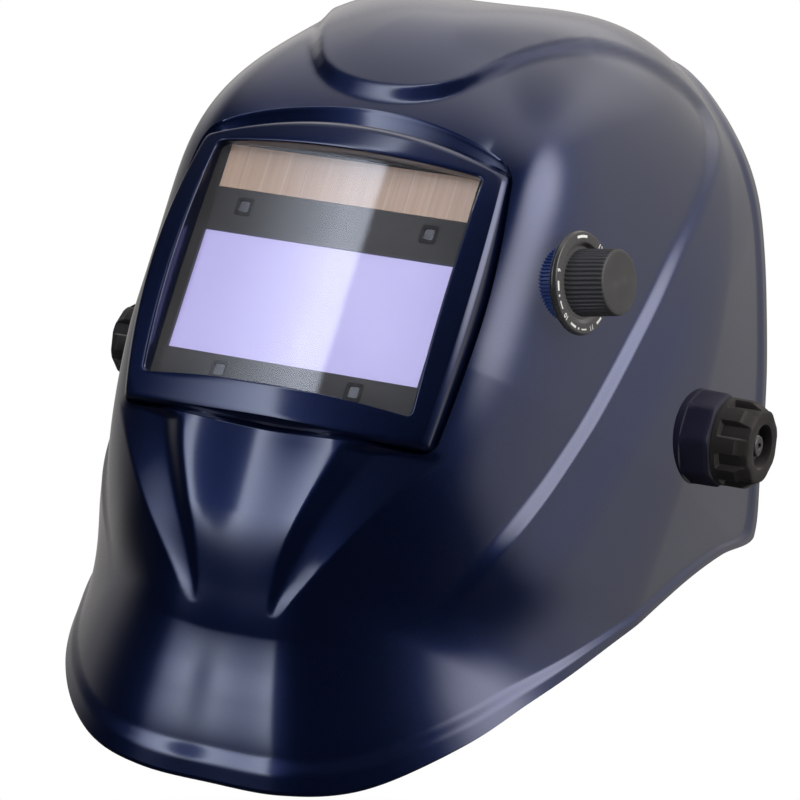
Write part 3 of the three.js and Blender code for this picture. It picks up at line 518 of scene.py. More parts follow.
def smooth_table(table, x):
    """A cubic through the rows whose slopes are averaged from the neighbours and never overshoot."""
    xs, ys = table[:, 0], table[:, 1]
    slope = np.diff(ys) / np.diff(xs)
    inner = (slope[:-1] + slope[1:]) / 2
    at = np.concatenate([[0.0], inner, [0.0]])

    def limited(m, s):
        return np.where(m * s <= 0, 0, np.sign(s) * np.minimum(np.abs(m), 3 * np.abs(s)))

    i = np.clip(np.searchsorted(xs, x, side="right") - 1, 0, len(xs) - 2)
    h = xs[i + 1] - xs[i]
    t = np.clip((x - xs[i]) / h, 0, 1)
    m0, m1 = limited(at[i], slope[i]), limited(at[i + 1], slope[i])
    return (ys[i] * (1 + 2 * t) * (1 - t) ** 2 + m0 * h * t * (1 - t) ** 2
            + ys[i + 1] * t * t * (3 - 2 * t) - m1 * h * t * t * (1 - t))


def flat_place(psi, alpha):
    """Angles laid out flat, as seen from straight ahead."""
    return alpha * np.sin(np.radians(psi)), alpha * np.cos(np.radians(psi))


def outside_line(line, psi, alpha):
    """Distance outside a line given by its two angles, about in millimetres."""
    turn = np.abs(psi)
    px, pz = flat_place(turn, alpha)
    lx, lz = flat_place(line[:, 0], line[:, 1])
    best = np.full(np.shape(px), np.inf)
    for i in range(len(line) - 1):
        dx, dz = lx[i + 1] - lx[i], lz[i + 1] - lz[i]
        t = np.clip(((px - lx[i]) * dx + (pz - lz[i]) * dz) / (dx * dx + dz * dz), 0, 1)
        best = np.minimum(best, np.hypot(px - lx[i] - t * dx, pz - lz[i] - t * dz))
    return MM_PER_DEGREE * np.where(alpha < np.interp(turn, line[:, 0], line[:, 1]), -best, best)


def finer(table, step):
    xs = np.arange(table[0, 0], table[-1, 0] + step / 2, step)
    return np.stack([xs, smooth_table(table, xs)], -1)


FINE_RIDGE = finer(RIDGE, 1.5)

# Chin: half width of the centre panel by height, and the crease outside its scoops
PANEL = np.array([[-118, 14], [-110, 14], [-100, 15.5], [-90, 18], [-78, 22.5], [-65, 27.5], [-54, 31],
                  [-48, 33]])
CREASE = np.array([[-115.5, 18], [-54.6, 62], [-50, 65.3]])
SCOOP_DEPTH = 3.6
SCOOP_BOTTOM = 0.4      # share of the way from panel to crease where a scoop is deepest

# Sweep of the chin's middle: degrees in from the rim and the distance outward
CHIN = np.array([[-5, 16.6], [0, CHIN_FLARE], [4, 6.4], [8, 2.4], [12, -0.8], [16, -2.4], [22, -2.2],
                 [34, 0], [90, 0]])


def scoop(p):
    """Depth of the two hollows beside the chin's centre panel."""
    x, z = np.abs(p[..., 0]), p[..., 2]
    panel = np.interp(z, PANEL[:, 0], PANEL[:, 1])
    crease = np.interp(z, CREASE[:, 0], CREASE[:, 1])
    across = np.clip((x - panel) / np.maximum(crease - panel, 2), 0, 1)
    past_bottom = np.maximum(across - SCOOP_BOTTOM, 0) / (1 - SCOOP_BOTTOM)
    dip = np.where(across < SCOOP_BOTTOM, ease(across, -0.04, SCOOP_BOTTOM), 1 - past_bottom ** 1.9)
    depth = SCOOP_DEPTH * np.clip((z + 116) / 60, 0, 1) ** 0.8
    roof = -52.6 + 2.4 * ease(x, 37, 57)
    return depth * dip * ease(roof - z, 0, 5)


def relief(psi, alpha, rim):
    """How far the moulded forms stand out from the plain shell."""
    turn = np.abs(psi)
    outside = outside_line(FINE_RIDGE, psi, alpha)
    ramp = (outside + 0.9) / (3.2 + 1.8 * ease(turn, 14, 26))
    crisp = smooth_min(smooth_max(ramp, np.zeros_like(ramp), 0.3), np.ones_like(ramp), 0.12)
    # a thin crisp step that goes on growing backward, and full shoulders above it
    shoulder = (CROWN_SHOULDER * np.exp(-((turn - 16) / 8) ** 2) * ease(alpha, 60, 85)
                + CHEEK_SHOULDER * np.exp(-((turn - 38) / 16) ** 2 - ((alpha - 46) / 12) ** 2))
    step = RIDGE_STEP * (0.44 * crisp + 0.56 * ease(outside, 0, 31)) * (1 - ease(turn, 112, 146))
    # the chin tucks in and then flares out to the rim; it is nearly flat from side to side
    side_flare = CHIN_FLARE * np.clip((alpha - rim + 20) / 20, 0, 1) ** 1.7
    middle = ease(turn, 136, 164)
    sweep = smooth_table(CHIN, rim - alpha)
    flare = (side_flare * (1 - middle) + sweep * middle) * ease(turn, 115, 145)
    aside = (flat_place(turn, alpha)[0] / 15) ** 2
    flat = CHIN_FLATTENING * aside * np.exp(1 - aside) * ease(turn, 100, 140)
    return step + shoulder + flare + flat + BEAD * ease(alpha, rim - 3, rim - 1.6)


def surface(psi, alpha, rim, inset=0.0):
    """Point of the shell's outer skin, or of a skin that lies `inset` under it."""
    way = direction(psi, alpha)
    r = reach(way)
    base = CENTRE + way * r[..., None]
    r = r + relief(psi, alpha, rim) - scoop(base) - inset
    return CENTRE + way * r[..., None]


# ---------------- window frame

def outline(psi, half, bulge, low, sag, high, arch, corner):
    """Distance from the face axis, in direction psi, to a rectangle with curved sides and rounded corners."""
    turn = np.radians(psi)

    def inside(r):
        x, z = np.abs(r * np.sin(turn)), CENTRE[2] + r * np.cos(turn)
        middle = np.clip(1 - (x / half) ** 2, 0, 1)
        side = half + bulge * np.clip(1 - ((z + 1) / 50) ** 2, 0, 1)
        dx = x - (side - corner)
        dz = np.maximum(z - (high + arch * middle - corner), (low - sag * middle + corner) - z)
        return np.hypot(np.maximum(dx, 0), np.maximum(dz, 0)) + np.minimum(np.maximum(dx, dz), 0) < corner

    return halve(inside, np.zeros_like(turn), np.full_like(turn, 160.0), 36)


def on_plane(psi, s, y):
    """Point at distance s from the face axis, in direction psi, at depth y."""
    turn = np.radians(psi)
    return np.stack([s * np.sin(turn), np.broadcast_to(y, s.shape), CENTRE[2] + s * np.cos(turn)], -1)


def face_front(p):
    """Depth of the window frame's front face, which is bowed both ways."""
    return -121 + 6.5 * (p[..., 0] / 60) ** 2 + 5.5 * (p[..., 2] / 50) ** 2


def foot_angle(psi, s, rim):
    """The angle from the face axis at which the surface is s away from that axis."""
    def inside(alpha):
        p = surface(psi, alpha, rim)
        return np.hypot(p[..., 0], p[..., 2] - CENTRE[2]) <= s

    return halve(inside, np.full_like(psi, 5.0), np.full_like(psi, 62.0), 26)


def shell_rows():
    """Closed rows from the window's opening over the front, round the rim and back inside."""
    rim = smooth_table(RIM, np.abs(PSI))
    s_open, s_face, s_foot, s_pocket = (outline(PSI, *shape) for shape in (OPENING, FACE, BROW, POCKET))
    foot = foot_angle(PSI, s_foot, rim)
    foot_point = surface(PSI, foot, rim)

    def at_face(s, back=0.0):
        p = on_plane(PSI, s, 0.0)
        p[..., 1] = face_front(p) + back
        return p

    rows = [at_face(s_open + out, back) for out, back in ((0, 1.1), (0.12, 0.45), (0.5, 0.08), (1.1, 0))]
    for t in (0.2, 0.4, 0.6, 0.8):
        rows.append(at_face(s_open + 1.1 + (s_face - s_open - 2.6) * t))
    rows += [at_face(s_face - within, back)
             for within, back in ((1.9, 0), (1.7, 0.06), (0.15, 1.5), (0, 1.8))]
    # wall of the frame back to a narrow groove, and from there out to the panel or the brow's edge
    wall_top = rows[-1][..., 1]
    gap = s_foot - s_face
    groove = 1.0 + 0.16 * gap
    for t in (0.3, 0.6, 0.85, 1.0):
        y = wall_top + (foot_point[..., 1] + groove - wall_top) * t
        rows.append(on_plane(PSI, s_face + gap * 0.08 * t, y))
    for t in (0.1, 0.3, 0.6, 0.85):
        y = foot_point[..., 1] + 0.2 + (groove - 0.2) * (1 - t)
        rows.append(on_plane(PSI, s_face + gap * (0.1 + 0.88 * t), y))
    rows.append(foot_point)
    outer = np.concatenate([[0.002, 0.008], np.linspace(0.015, 0.93, 150), np.linspace(0.935, 1, 14)])
    for t in outer:
        rows.append(surface(PSI, foot + (rim - foot) * t, rim))
    # rounded edge of the rim, then the inner side
    edge = surface(PSI, rim, rim)
    past_edge = surface(PSI, rim + 0.35, rim) - edge
    inner_edge = surface(PSI, rim, rim, RIM_WALL)
    for share in (0.25, 0.65):
        rows.append(edge * (1 - share) + inner_edge * share + past_edge)
    for t in np.concatenate([[1, 0.985, 0.96], np.linspace(0.94, 0.0, 62)]):
        inset = WALL + (RIM_WALL - WALL) * ease(t, 0.95, 1)
        rows.append(surface(PSI, foot + (rim - foot) * t, rim, inset))
    # flat back of the frame and the pocket that the cover lens sits in
    rows.append(on_plane(PSI, s_face + 0.2, np.minimum(rows[-1][..., 1], POCKET_BACK) + 0.1))
    for s, y in ((s_face, POCKET_BACK), (s_pocket, POCKET_BACK), (s_pocket, POCKET_FRONT),
                 (s_open, POCKET_FRONT)):
        rows.append(on_plane(PSI, s, y))
    return np.array(rows)


# ---------------- bosses on the shell

SIDES = ((1, "left"), (-1, "right"))      # the wearer's left is at +X
PIVOT = (0, 0, 0)
DIAL_CENTRE = np.array([86.3, -83.3, 23.1])
DIAL_AXIS = unit((0.98, -0.176, 0.09))


def quiet(piece):
    """Keeps a piece out of the shell's mirror-like gloss."""
    piece.visible_glossy = False
    return piece


def pivot_boss(side):
    """Octagonal boss on a round seat, bored for the stud."""
    seat = [(100.6, 4.6), (100.6, 10), (100.6, 16.6), (101, 17), (103.6, 17), (104.2, 17), (105, 17),
            (106, 17)]
    octagon = [(106.2, 17.2), (109, 17.1), (114.6, 17), (115.7, 16.9), (116.3, 16.5), (116.6, 15.8),
               (116.6, 13), (116.6, 9)]
    bore = [(116.6, 6), (116.6, 4.6)]

    def eight_sided(angle, radius, k):
        if not len(seat) <= k < len(seat) + len(octagon):
            return np.full(angle.shape, float(radius))
        flat = radius * math.cos(math.pi / 8) / np.cos(from_nearest_flat(angle, 8))
        return np.minimum(flat, radius * 0.985)

    return turned(PIVOT, (side, 0, 0), seat + octagon + bore, 128, eight_sided)


def dial_boss():
    """Round boss behind the dial, with fine serrations round its outer edge."""
    teeth = 64

    def serrated(angle, radius, k):
        wave = 0.35 * np.clip(np.cos(angle * teeth) * 1.6, -1, 1)
        return radius + (wave if 3 <= k <= 6 else 0 * angle)

    profile = [(-15, 10.5), (-15, 12.6), (-14.6, 13), (-11, 13), (-8, 13), (-3.9, 13), (-3.5, 12.8),
               (-3.3, 12.3), (-3.3, 8), (-3.3, 4.1), (-5.8, 4.1), (-5.8, 10.5)]
    return turned(DIAL_CENTRE, DIAL_AXIS, profile, 8 * teeth, serrated)


def stop_peg(side):
    """Peg inside the shell that meets the stop plate at both ends of the tilt."""
    turn, radius = math.radians(200), 21
    at = (0, -radius * math.cos(turn), radius * math.sin(turn))
    return turned(at, (side, 0, 0), [(97, 0.02), (97, 1.8), (97.4, 2.2), (103.5, 2.2), (103.5, 0.02)], 24)


def build_shell():
    points, faces = joined(loft(shell_rows()), stop_peg(1), stop_peg(-1))
    shell = make("helmet_shell_moulding", points, faces, "helmet_shell", NAVY, "shell_navy", sharp=50)
    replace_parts(shell, "shell")
    for side, label in SIDES:
        quiet(make("pivot_boss_" + label, *pivot_boss(side), "helmet_shell", BOSS, "shell_navy", sharp=50))
    quiet(make("dial_boss", *dial_boss(), "helmet_shell", BLUE_BOSS, "shell_navy", sharp=50))


# ---------------- knobs and dial

def build_tension_knob(side, label):
    """Eight flat-bottomed notches between broad ribs, a coned front, and the recess the stud ends in."""
    back = [(116.9, 4.4), (116.9, 9), (116.9, 14.8), (117.2, 15.4), (117.6, 15.7), (118.8, 15.7)]
    grip = [(119.4, 15.6), (119.7, 15.6), (120.0, 15.6), (121, 15.6), (122.5, 15.6), (124, 15.6),
            (125.4, 15.6), (126.4, 15.5)]
    cone = [(126.9, 15.3), (127.8, 14.8), (128.8, 14.2), (129.8, 13.6), (130.6, 13.0), (130.9, 12.5)]
    recess = [(131, 11.9), (131, 8.6), (130.9, 8.1), (130.5, 7.9), (128, 7.9), (126.2, 7.9), (126, 7.5),
              (126, 4.8), (125.8, 4.4)]
    cone_start, cone_end = len(back + grip), len(back + grip + cone)
    notch_floor = 13.1

    def notched(angle, radius, k):
        if not len(back) <= k < cone_end:
            return np.full(angle.shape, float(radius))
        turn = np.abs(from_nearest_flat(angle, 8))
        if k >= cone_start:
            facet = math.cos(math.pi / 8) * 1.045 / np.cos(math.pi / 8 - turn)
            radius = radius * np.minimum(1, facet)
        notch = (1 - ease(turn, 0.15, 0.21)) * ease(k, len(back), len(back) + 2)
        return radius - np.maximum(radius - notch_floor, 0) * notch

    body = turned(PIVOT, (side, 0, 0), back + grip + cone + recess, 320, notched)
    knob = make("tension_knob_moulding_" + label, *body, "knob_" + label, GRIP, "knob_black", sharp=32)
    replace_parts(quiet(knob), "tension_knob_" + label)


def build_shade_knob():
    """Fluted knob with a pointer rib at its outer edge."""
    flutes = 44
    foot = [(-0.9, 7.4), (-0.9, 10.6)]
    grip = [(-0.7, 11.4), (-0.2, 11.6), (4, 11.55), (8, 11.5), (12, 11.45), (13.3, 11.4), (13.9, 11.35),
            (14.25, 11.2)]
    flute_share = [0.6, 1, 1, 1, 1, 0.8, 0.35, 0.1]
    face = [(14.5, 10.7), (14.6, 9.8), (14.62, 6), (14.64, 3), (14.65, 0.05)]
    inside = [(10.2, 0.05), (10.2, 3.3), (3.2, 3.3), (3.2, 7.4)]

    def fluted(angle, radius, k):
        at = k - len(foot)
        if not 0 <= at < len(grip):
            return np.full(angle.shape, float(radius))
        groove = np.clip(0.5 - 0.9 * np.cos(angle * flutes), 0, 1)
        pointer = np.exp(-((angle - math.radians(62)) / 0.05) ** 2) * 0.7 * ease(at, 2, 6)
        return radius - 0.55 * flute_share[at] * groove + pointer

    body = turned(DIAL_CENTRE, DIAL_AXIS, foot + grip + face + inside, flutes * 10, fluted)
    knob = make("shade_dial_knob", *body, "shade_dial", KNOB, "knob_black", sharp=50)
    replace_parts(quiet(knob), "shade_knob")


def build_scale_ring():
    profile = rounded([(-3, 4.2, 0), (-3, 17.1, 0.3), (-2, 18.0, 0.5), (-0.9, 18.0, 0.5), (0, 17.3, 0.35),
                       (0, 14.0, 0.5), (-1.3, 12.5, 0.3), (-1.3, 4.2, 0)])
    ring = make("dial_ring", *turned(DIAL_CENTRE, DIAL_AXIS, profile, 160), "helmet_shell", RING, "dial_ring")
    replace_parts(quiet(ring), "dial_scale_ring")


def scale_place(angle):
    """Outward from the dial's middle at an angle on its scale, and the way across that reads as rightward."""
    _, right, top = basis(DIAL_AXIS)
    turn = math.radians(angle)
    return math.cos(turn) * right + math.sin(turn) * top, math.sin(turn) * right - math.cos(turn) * top


def ring_patch(start, end, inner, outer, count=8):
    """Printed bar on the scale, from one angle to another."""
    ink = 0.1
    rows = []
    for angle in np.linspace(start, end, count):
        way = scale_place(angle)[0]
        rows.append([DIAL_CENTRE + along * DIAL_AXIS + radius * way
                     for along, radius in ((-ink, inner), (ink, inner), (ink, outer), (-ink, outer))])
    points, faces = loft(rows, ring=False)
    last = 4 * (count - 1)
    return points, [*faces.tolist(), [3, 2, 1, 0], [last, last + 1, last + 2, last + 3]]


def dial_text(text, angle, radius, size):
    """The points and faces of a number that reads outward from the dial's middle."""
    curve = bpy.data.curves.new("scale_text", "FONT")
    curve.body = text
    curve.size = size
    curve.align_x = "CENTER"
    curve.align_y = "CENTER"
    curve.extrude = 0.06
    curve.resolution_u = 3
    temporary = place_in_scene("scale_text", curve)
    mesh = temporary.to_mesh()
    way, sideways = scale_place(angle)
    points = [DIAL_CENTRE + v.co.x * sideways + (radius + v.co.y) * way + (v.co.z + 0.05) * DIAL_AXIS
              for v in mesh.vertices]
    faces = [list(f.vertices) for f in mesh.polygons]
    temporary.to_mesh_clear()
    bpy.data.objects.remove(temporary)
    return np.array(points), faces


def build_scale_marks():
    """White numbers with a bar, a dot and a bar between each two, and a plain bar for the off position."""
    parts = []
    first_shade, last_shade = 9, 13
    for shade in range(first_shade, last_shade + 1):
        angle = 187 + 61 * (shade - first_shade)
        parts.append(dial_text(str(shade), angle, 15.9, 2.7))
        if shade < last_shade:
            parts.append(ring_patch(angle + 13, angle + 25, 15.55, 16.35))
            parts.append(ring_patch(angle + 30, angle + 32.5, 15.6, 16.3, 3))
            parts.append(ring_patch(angle + 38, angle + 49, 15.7, 16.2))
    parts.append(ring_patch(104, 126, 15.4, 16.3, 12))
    quiet(make("dial_scale_marks", *joined(*parts), "helmet_shell", WHITE_INK, "dial_ring"))


def build_cover_lens():
    """Clear cover, curved a little across, that fills the window's opening."""
    edge = outline(PSI, *OPENING) - LENS_GAP

    def sheet_row(share, depth):
        p = on_plane(PSI, edge * share, 0.0)
        p[..., 1] = -110.4 + 1.7 * (p[..., 0] / OPENING[0]) ** 2 + depth
        return p

    shares = [0.004, 0.1, 0.2, 0.3, 0.4, 0.5, 0.6, 0.7, 0.8, 0.9, 0.97, 1.0]
    rows = [sheet_row(t, 0) for t in shares] + [sheet_row(t, 1.0) for t in reversed(shares)]
    lens = make("cover_lens_sheet", *loft(rows), "helmet_shell", CLEAR, "clear_lens")
    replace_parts(lens, "front_cover_lens")


def build_stud(side, label):
    """Headed stud, threaded at its outer end, with a small centre hole."""
    pitch = 0.8
    thread = [(x + pitch * k, r) for k in range(11) for x, r in ((119.6, 4.0), (120.0, 3.55))]
    profile = [(85.6, 0.05), (85.6, 7.5), (86.0, 8.0), (87.9, 8.0), (88.3, 7.5), (88.3, 4.0), *thread,
               (128.5, 3.9), (129.3, 3.6), (129.6, 3.1), (129.6, 1.4), (129.3, 1.2), (127, 1.2), (127, 0.05)]
    body = turned(PIVOT, (side, 0, 0), profile, 48)
    stud = make("threaded_stud_" + label, *body, "pivot_carriers", BLACK_STEEL, "steel", sharp=25)
    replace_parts(quiet(stud), "pivot_stud_" + label)


def build_potentiometer():
    """The dial's potentiometer, hidden in the boss, and the hexagonal nut on its bushing."""
    can = [(-15, 0.05), (-15, 7.9), (-14.5, 8.4), (-6.7, 8.4), (-6.2, 7.9)]
    shaft = [(-6.2, 3.5), (1.6, 3.5), (1.9, 3.2), (1.9, 2.9), (9.4, 2.9), (9.8, 2.5), (9.8, 0.05)]
    nut = [(-0.9, 3.8), (-0.9, 6.2), (1.5, 6.2), (1.5, 3.8)]

    def hexagonal(angle, radius, k):
        if k in (0, 3):
            return np.full(angle.shape, float(radius))
        flat = radius * math.cos(math.pi / 6) / np.cos(from_nearest_flat(angle, 6))
        return np.minimum(flat, 6.0)

    for name, node, body in (
            ("dial_potentiometer", "potentiometer", turned(DIAL_CENTRE, DIAL_AXIS, can + shaft, 64)),
            ("dial_nut", "potentiometer_nut", turned(DIAL_CENTRE, DIAL_AXIS, nut, 96, hexagonal))):
        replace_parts(quiet(make(name, *body, "helmet_shell", STEEL, "steel")), node)


def build_sensor_bezels():
    """A dark raised border round each arc sensor's window."""
    around = full_turn(48)
    square = np.stack([squared_off(np.cos(around), 0.35), 0 * around, squared_off(np.sin(around), 0.35)], -1)
    border = ((0.95, 0.15), (0.95, -0.25), (0.75, -0.45), (-0.35, -0.45), (-0.55, -0.25), (-0.55, -0.12))
    for k in range(4):
        near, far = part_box(f"arc_sensor_{k + 1}")
        middle = np.array([(near.x + far.x) / 2, near.y, (near.z + far.z) / 2]) / MM
        half = (far.x - near.x) / 2 / MM
        rows = [middle + square * (half + out) + (0, back, 0) for out, back in border]
        make(f"sensor_bezel_{k + 1}", *loft(rows), "helmet_shell", BEZEL, "sensor_window")


# ---------------- pads

SWELL_SCALE = 4         # the simulation runs on a larger copy
SWELL_FRAMES = 20
SWELL_LIMIT = 0.8
SWELL_VOXEL = 1.9
CHANNEL_DEPTH = 1.0
CHANNEL_WIDTH = 1.7
PAD_AROUND = 40


def cushion(middle, normal, rise, thick, high):
    """Points and faces of a pad along a line of middles. It reaches `thick` each way along the normal and
    `high` each way along the rise."""
    around = full_turn(PAD_AROUND)
    across, up = squared_off(np.cos(around), 0.55), squared_off(np.sin(around), 0.45)
    along = distance_along(middle)
    rows = []
    for m, n, a in zip(middle, normal, along):
        from_end = min(1.0, min(a, along[-1] - a) / 5.0)
        full = math.sqrt(1 - (1 - from_end) ** 2)
        rows.append(m + np.outer(across * thick * (0.35 + 0.65 * full), n)
                    + np.outer(up * high * (0.82 + 0.18 * full), rise))
    points, faces = loft(rows, ring=False)
    start = list(range(PAD_AROUND))
    end = [len(points) - PAD_AROUND + k for k in start]
    return points, [*faces.tolist(), start[::-1], end]


def evaluated(piece):
    return piece.evaluated_get(bpy.context.evaluated_depsgraph_get())


def swell(piece):
    """Blows a cushion up in a cloth simulation and keeps the shape. No point moves more than SWELL_LIMIT."""
    scene = bpy.context.scene
    copy = place_in_scene("swelling", piece.data.copy())
    copy.data.transform(Matrix.Scale(SWELL_SCALE, 4))
    remesh = copy.modifiers.new("even", "REMESH")
    remesh.mode = "VOXEL"
    remesh.voxel_size = SWELL_VOXEL * MM * SWELL_SCALE
    even = bpy.data.meshes.new_from_object(evaluated(copy))
    copy.modifiers.clear()
    copy.data = even
    cloth = copy.modifiers.new("air", "CLOTH")
    cloth.settings.use_pressure = True
    cloth.settings.uniform_pressure_force = 4
    cloth.settings.effector_weights.gravity = 0
    cloth.point_cache.frame_start, cloth.point_cache.frame_end = 1, SWELL_FRAMES
    start = coordinates(even)
    for frame in range(1, SWELL_FRAMES + 1):
        scene.frame_set(frame)
    move = coordinates(evaluated(copy).data) - start
    copy.modifiers.clear()
    length = np.linalg.norm(move, axis=1)
    limit = SWELL_LIMIT * MM * SWELL_SCALE
    move *= np.minimum(1, limit / np.maximum(length, 1e-9))[:, None]
    even.vertices.foreach_set("co", ((start + move) / SWELL_SCALE).ravel())
    scene.frame_set(1)
    even.materials.clear()
    even.materials.append(CLOTH)
    piece.data = even
    bpy.data.objects.remove(copy)


def coordinates(mesh):
    points = np.empty(len(mesh.vertices) * 3)
    mesh.vertices.foreach_get("co", points)
    return points.reshape(-1, 3)


def press_channels(mesh, middle, normal, rise, thick, channels):
    """Draws the pad in where it is sewn through. Returns its points, in millimetres."""
    points = coordinates(mesh) / MM
    along = distance_along(middle)
    apart = points[:, None] - middle[None]
    flat_apart = apart - (apart @ rise)[..., None] * rise
    nearest = np.argmin(np.linalg.norm(flat_apart, axis=2), axis=1)
    offset, out_way = points - middle[nearest], normal[nearest]
    out = np.sum(offset * out_way, axis=1)
    # scaled as a whole like the brow pad's normals, so it hardly moves the place along the band
    on_way = unit(np.cross(out_way, rise))
    on_way = np.sign(np.sum(on_way * (middle[-1] - middle[0]), axis=1))[:, None] * on_way
    at = along[nearest] + np.sum(offset * on_way, axis=1)
    dent = sum(np.exp(-((at - along[-1] * c) / CHANNEL_WIDTH) ** 2) for c in channels)
    points -= (CHANNEL_DEPTH * dent * np.clip(out / (0.5 * thick), -1, 1))[:, None] * out_way
    mesh.vertices.foreach_set("co", (points * MM).ravel())
    return points


def stitch(foot, rise, normal, side):
    """One thread loop that lies along the rise, as thick in the middle as a thread and thin at both ends."""
    turn = full_turn(8)
    return loft([foot + rise * t + np.outer(np.cos(turn) * r, normal) + np.outer(np.sin(turn) * r, side)
                 for t, r in ((-1.0, 0.05), (-0.8, 0.22), (0, 0.27), (0.8, 0.22), (1.0, 0.05))])


def build_pad(name, node, body, middle, normal, rise, thick, high, channels):
    """Swollen pad with sewn channels across it and a line of stitches in each, on both faces."""
    piece = make(name, *cushion(middle, normal, rise, thick, high), body, CLOTH, "pad_fabric", sharp=80)
    swell(piece)
    points = press_channels(piece.data, middle, normal, rise, thick, channels)
    piece.data.polygons.foreach_set("use_smooth", [True] * len(piece.data.polygons))
    smooth = piece.modifiers.new("even_curve", "SUBSURF")
    smooth.levels = smooth.render_levels = 1
    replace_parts(piece, node)
    along = distance_along(middle)
    stitches = []
    for c in channels:
        k = int(np.argmin(np.abs(along - along[-1] * c)))
        side = unit(np.cross(normal[k], rise))
        for h in np.arange(-high + 3.2, high - 3.0, 3.1):
            for face in (-1, 1):
                foot = middle[k] + rise * h
                close = np.argsort(np.linalg.norm(points - foot - normal[k] * face * thick, axis=1))[:3]
                top = float(np.mean((points[close] - foot) @ normal[k]))
                stitches.append(stitch(foot + normal[k] * top, rise, normal[k], side))
    make(name + "_stitches", *joined(*stitches), body, THREAD, "pad_fabric", sharp=80)


def build_brow_pad():
    """Along the front of the headband, which is a squared-off half oval seen from above."""
    a = np.radians(np.linspace(-61.4, 61.4, 90))
    power = 2 / 2.2
    middle = np.stack([73.8 * squared_off(np.sin(a), power), 37 - 97.8 * squared_off(np.cos(a), power),
                       np.full(a.shape, 31.5)], -1)
    rise = np.array([0, 0, 1.0])
    # unit scales the line as a whole, so these normals are about 0.1 long, which makes this pad thin
    normal = np.cross(unit(np.gradient(middle, axis=0)), rise)
    channels = (0.09, 0.2, 0.31, 0.42, 0.5, 0.58, 0.69, 0.8, 0.91)
    build_pad("brow_pad", "brow_sweatband", "headgear", middle, normal, rise, 2.95, 16.1, channels)


def build_nape_pad():
    """Round the inside of the nape ratchet, in the sloping plane of the rear straps."""
    a = np.radians(np.linspace(-23.4, 23.4, 40))
    slope_cos, slope_sin = 0.951, 0.309
    radius = 66.3
    y, x = 16 + radius * np.cos(a), radius * np.sin(a)
    middle = np.stack([x, 45 + slope_cos * y, 28 - slope_sin * y], -1)
    rise = np.array([0, slope_sin, slope_cos])
    normal = np.stack([np.sin(a), slope_cos * np.cos(a), -slope_sin * np.cos(a)], -1)
    channels = (0.17, 0.39, 0.61, 0.83)
    build_pad("nape_cushion", "nape_pad", "nape_ratchet", middle, normal, rise, 2.6, 14.1, channels)


# ---------------- camera, light and floor

CAMERA_PLACE = (0.7157, -1.3765, -0.3915)
CAMERA_RIGHT = (0.8783, 0.3850, 0.2835)
CAMERA_UP = (-0.1506, -0.3400, 0.9283)
CAMERA_BACK = (0.4538, -0.8580, -0.2407)
LENS = 197.5
STRIP_POWER = 6.2
PANEL_POWER = 5.2
PANEL_RADIUS = 34       # degrees
FLOOR_HALF = 6.0        # metres
FLOOR_LEVEL = -0.9


def towards(azimuth, elevation, distance):
    """Azimuth 0 is straight ahead of the wearer and 90 on the wearer's left."""
    a, e = math.radians(azimuth), math.radians(elevation)
    return Vector((math.sin(a) * math.cos(e), -math.cos(a) * math.cos(e), math.sin(e))) * distance


def build_world():
    """White studio behind, beside and above, dark towards the wearer's front. The backdrop is plain white."""
    world = bpy.data.worlds.new("studio")
    bpy.context.scene.world = world
    world.use_nodes = True
    world.node_tree.nodes.clear()
    sky = Nodes(world.node_tree)
    place = sky.node("TexCoord").outputs["Generated"]
    x, y, z = sky.node("SeparateXYZ", Vector=place).outputs

    def ramp(value, low, high, out_low, out_high):
        return sky.spread(value, low, high, out_low, out_high, "SMOOTHSTEP")

    # walls, from dark in front to bright beside and a little darker straight behind; the wall on the
    # wearer's right is dim low down
    walls = sky.times(ramp(y, -0.35, 0.15, 0.02, 0.85), ramp(y, 0.45, 0.95, 1.0, 0.5),
                      sky.math("MAXIMUM", ramp(x, -0.8, -0.3, 0.4, 1.0), ramp(z, 0.2, 0.55, 0.0, 1.0)))
    ceiling = sky.times(ramp(z, 0.55, 0.9, 0.0, 1.4), ramp(z, 0.9, 1.0, 1.0, 0.6))
    room = sky.times(sky.math("MAXIMUM", walls, ceiling), ramp(z, -0.3, 0.05, 0.05, 1.0))
    # broad soft panel on the wearer's left, brightest in the middle
    aim = sky.node("VectorMath")
    aim.operation = "DOT_PRODUCT"
    sky.feed(aim.inputs[0], place)
    sky.feed(aim.inputs[1], towards(72, 28, 1.0))
    panel = ramp(aim.outputs["Value"], math.cos(math.radians(PANEL_RADIUS)), 1.0, 0.0, 1.0)
    warm = sky.math("ADD", room, sky.times(panel, panel, PANEL_POWER))
    # upright strip on the wearer's right: a sharp edge towards the middle, fading the other way
    azimuth = sky.math("ARCTAN2", x, sky.times(y, -1.0))
    fade_start = ramp(z, -0.15, 0.26, -0.93, -0.66)
    fade = sky.spread(azimuth, fade_start, -0.50)
    sharp_edge = ramp(azimuth, -0.476, -0.464, 1.0, 0.0)
    upright = sky.times(ramp(z, -0.55, -0.28, 0.0, 1.0), ramp(z, 0.60, 0.74, 1.0, 0.0))
    strip = sky.times(fade, fade, sharp_edge, upright, STRIP_POWER)

    both = sky.node("AddShader")
    sky.feed(both.inputs[0], sky.node("Background", Color=(1.0, 0.965, 0.935, 1), Strength=warm).outputs[0])
    sky.feed(both.inputs[1], sky.node("Background", Color=(0.86, 0.94, 1.12, 1), Strength=strip).outputs[0])
    mix = sky.node("MixShader")
    sky.feed(mix.inputs[0], sky.node("LightPath").outputs["Is Camera Ray"])
    sky.feed(mix.inputs[1], both.outputs[0])
    sky.feed(mix.inputs[2], sky.node("Background", Color=(1, 1, 1, 1), Strength=1.0).outputs[0])
    sky.node("OutputWorld", Surface=mix.outputs[0])


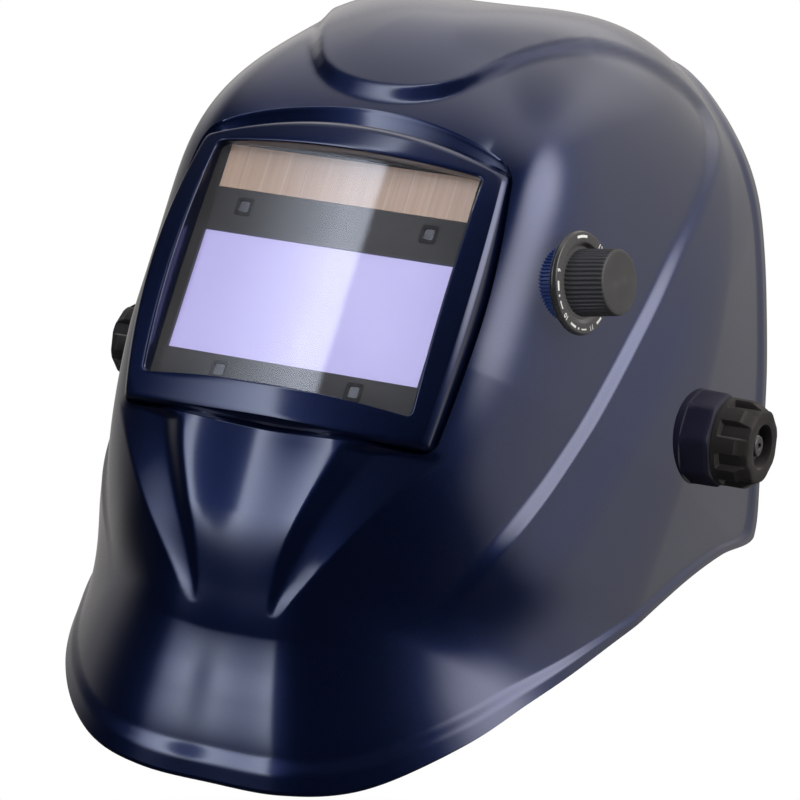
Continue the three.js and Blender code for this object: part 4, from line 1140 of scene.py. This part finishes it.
def build_camera():
    camera = bpy.data.cameras.new("camera")
    camera.lens = LENS
    camera.sensor_width = 36
    camera.clip_end = 50
    holder = place_in_scene("camera", camera)
    turn = Matrix((CAMERA_RIGHT, CAMERA_UP, CAMERA_BACK)).transposed()
    holder.matrix_world = Matrix.Translation(CAMERA_PLACE) @ turn.to_4x4()
    bpy.context.scene.camera = holder


def build_fill():
    """One large soft light from the front, which the gloss doesn't mirror."""
    lamp = bpy.data.lights.new("front_fill", "AREA")
    lamp.shape = "RECTANGLE"
    lamp.size = lamp.size_y = 1.6
    lamp.energy = 26
    fill = place_in_scene("front_fill", lamp)
    fill.location = towards(15, 25, 2.2)
    fill.rotation_euler = (-fill.location).to_track_quat("-Z", "Y").to_euler()
    fill.visible_camera = False
    fill.visible_glossy = False


def build_floor():
    mesh = bpy.data.meshes.new("floor")
    corners = [(x * FLOOR_HALF, y * FLOOR_HALF, FLOOR_LEVEL) for x, y in ((-1, -1), (1, -1), (1, 1), (-1, 1))]
    mesh.from_pydata(corners, [], [(0, 1, 2, 3)])
    mesh.materials.append(pale_floor())
    floor = place_in_scene("floor", mesh)
    floor.visible_glossy = False


# ---------------- assembly

bpy.context.scene.view_settings.view_transform = "Standard"
build_camera()
build_fill()
build_world()
build_floor()
build_shell()
build_cover_lens()
for side, label in SIDES:
    build_tension_knob(side, label)
build_shade_knob()
build_scale_ring()
build_scale_marks()
for side, label in SIDES:
    build_stud(side, label)
build_potentiometer()
build_sensor_bezels()
build_brow_pad()
build_nape_pad()

dress("inner_cover_lens", CLEAR)
dress("filter_housing", CASE, 0.35)
dress("housing_cover", CASE, 0.3)
# the filter glass carries a painted glow: its emission stands in for light coming through it from behind
dress("filter_glass", LILAC_PAINTED_GLOW)
solar_low, solar_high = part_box("solar_panel")
dress("solar_panel", solar_cells(solar_low.x, (solar_high.x - solar_low.x) / 12))
for k in range(4):
    dress(f"arc_sensor_{k + 1}", SENSOR, 0.3)
dress("circuit_board", BOARD)
for name in ("battery_1", "battery_2"):
    dress(name, CELL_STEEL, 0.3)
for name in ("sensitivity_knob", "delay_knob"):
    dress(name, KNOB, 0.25)
dress("lens_frame", FRAME_GREY, 0.35)
dress("cartridge_latch", KNOB, 0.25)
dress("control_lead", LEAD)
dress("lead_clip", FRAME_GREY, 0.2)
for side in ("left", "right"):
    dress(f"friction_washer_{side}", FIBRE)
    dress(f"arm_rivet_{side}", STEEL, 0.3)
    for part in ("stop_plate", "slide_block", "side_arm", "crown_strap", "rear_strap"):
        dress(f"{part}_{side}", GEAR, 0.3)
for name in ("headband_front", "crown_strap_front", "crown_button", "ratchet_housing", "ratchet_cover",
             "ratchet_pinion"):
    dress(name, GEAR, 0.3)
dress("size_knob", KNOB, 0.4)
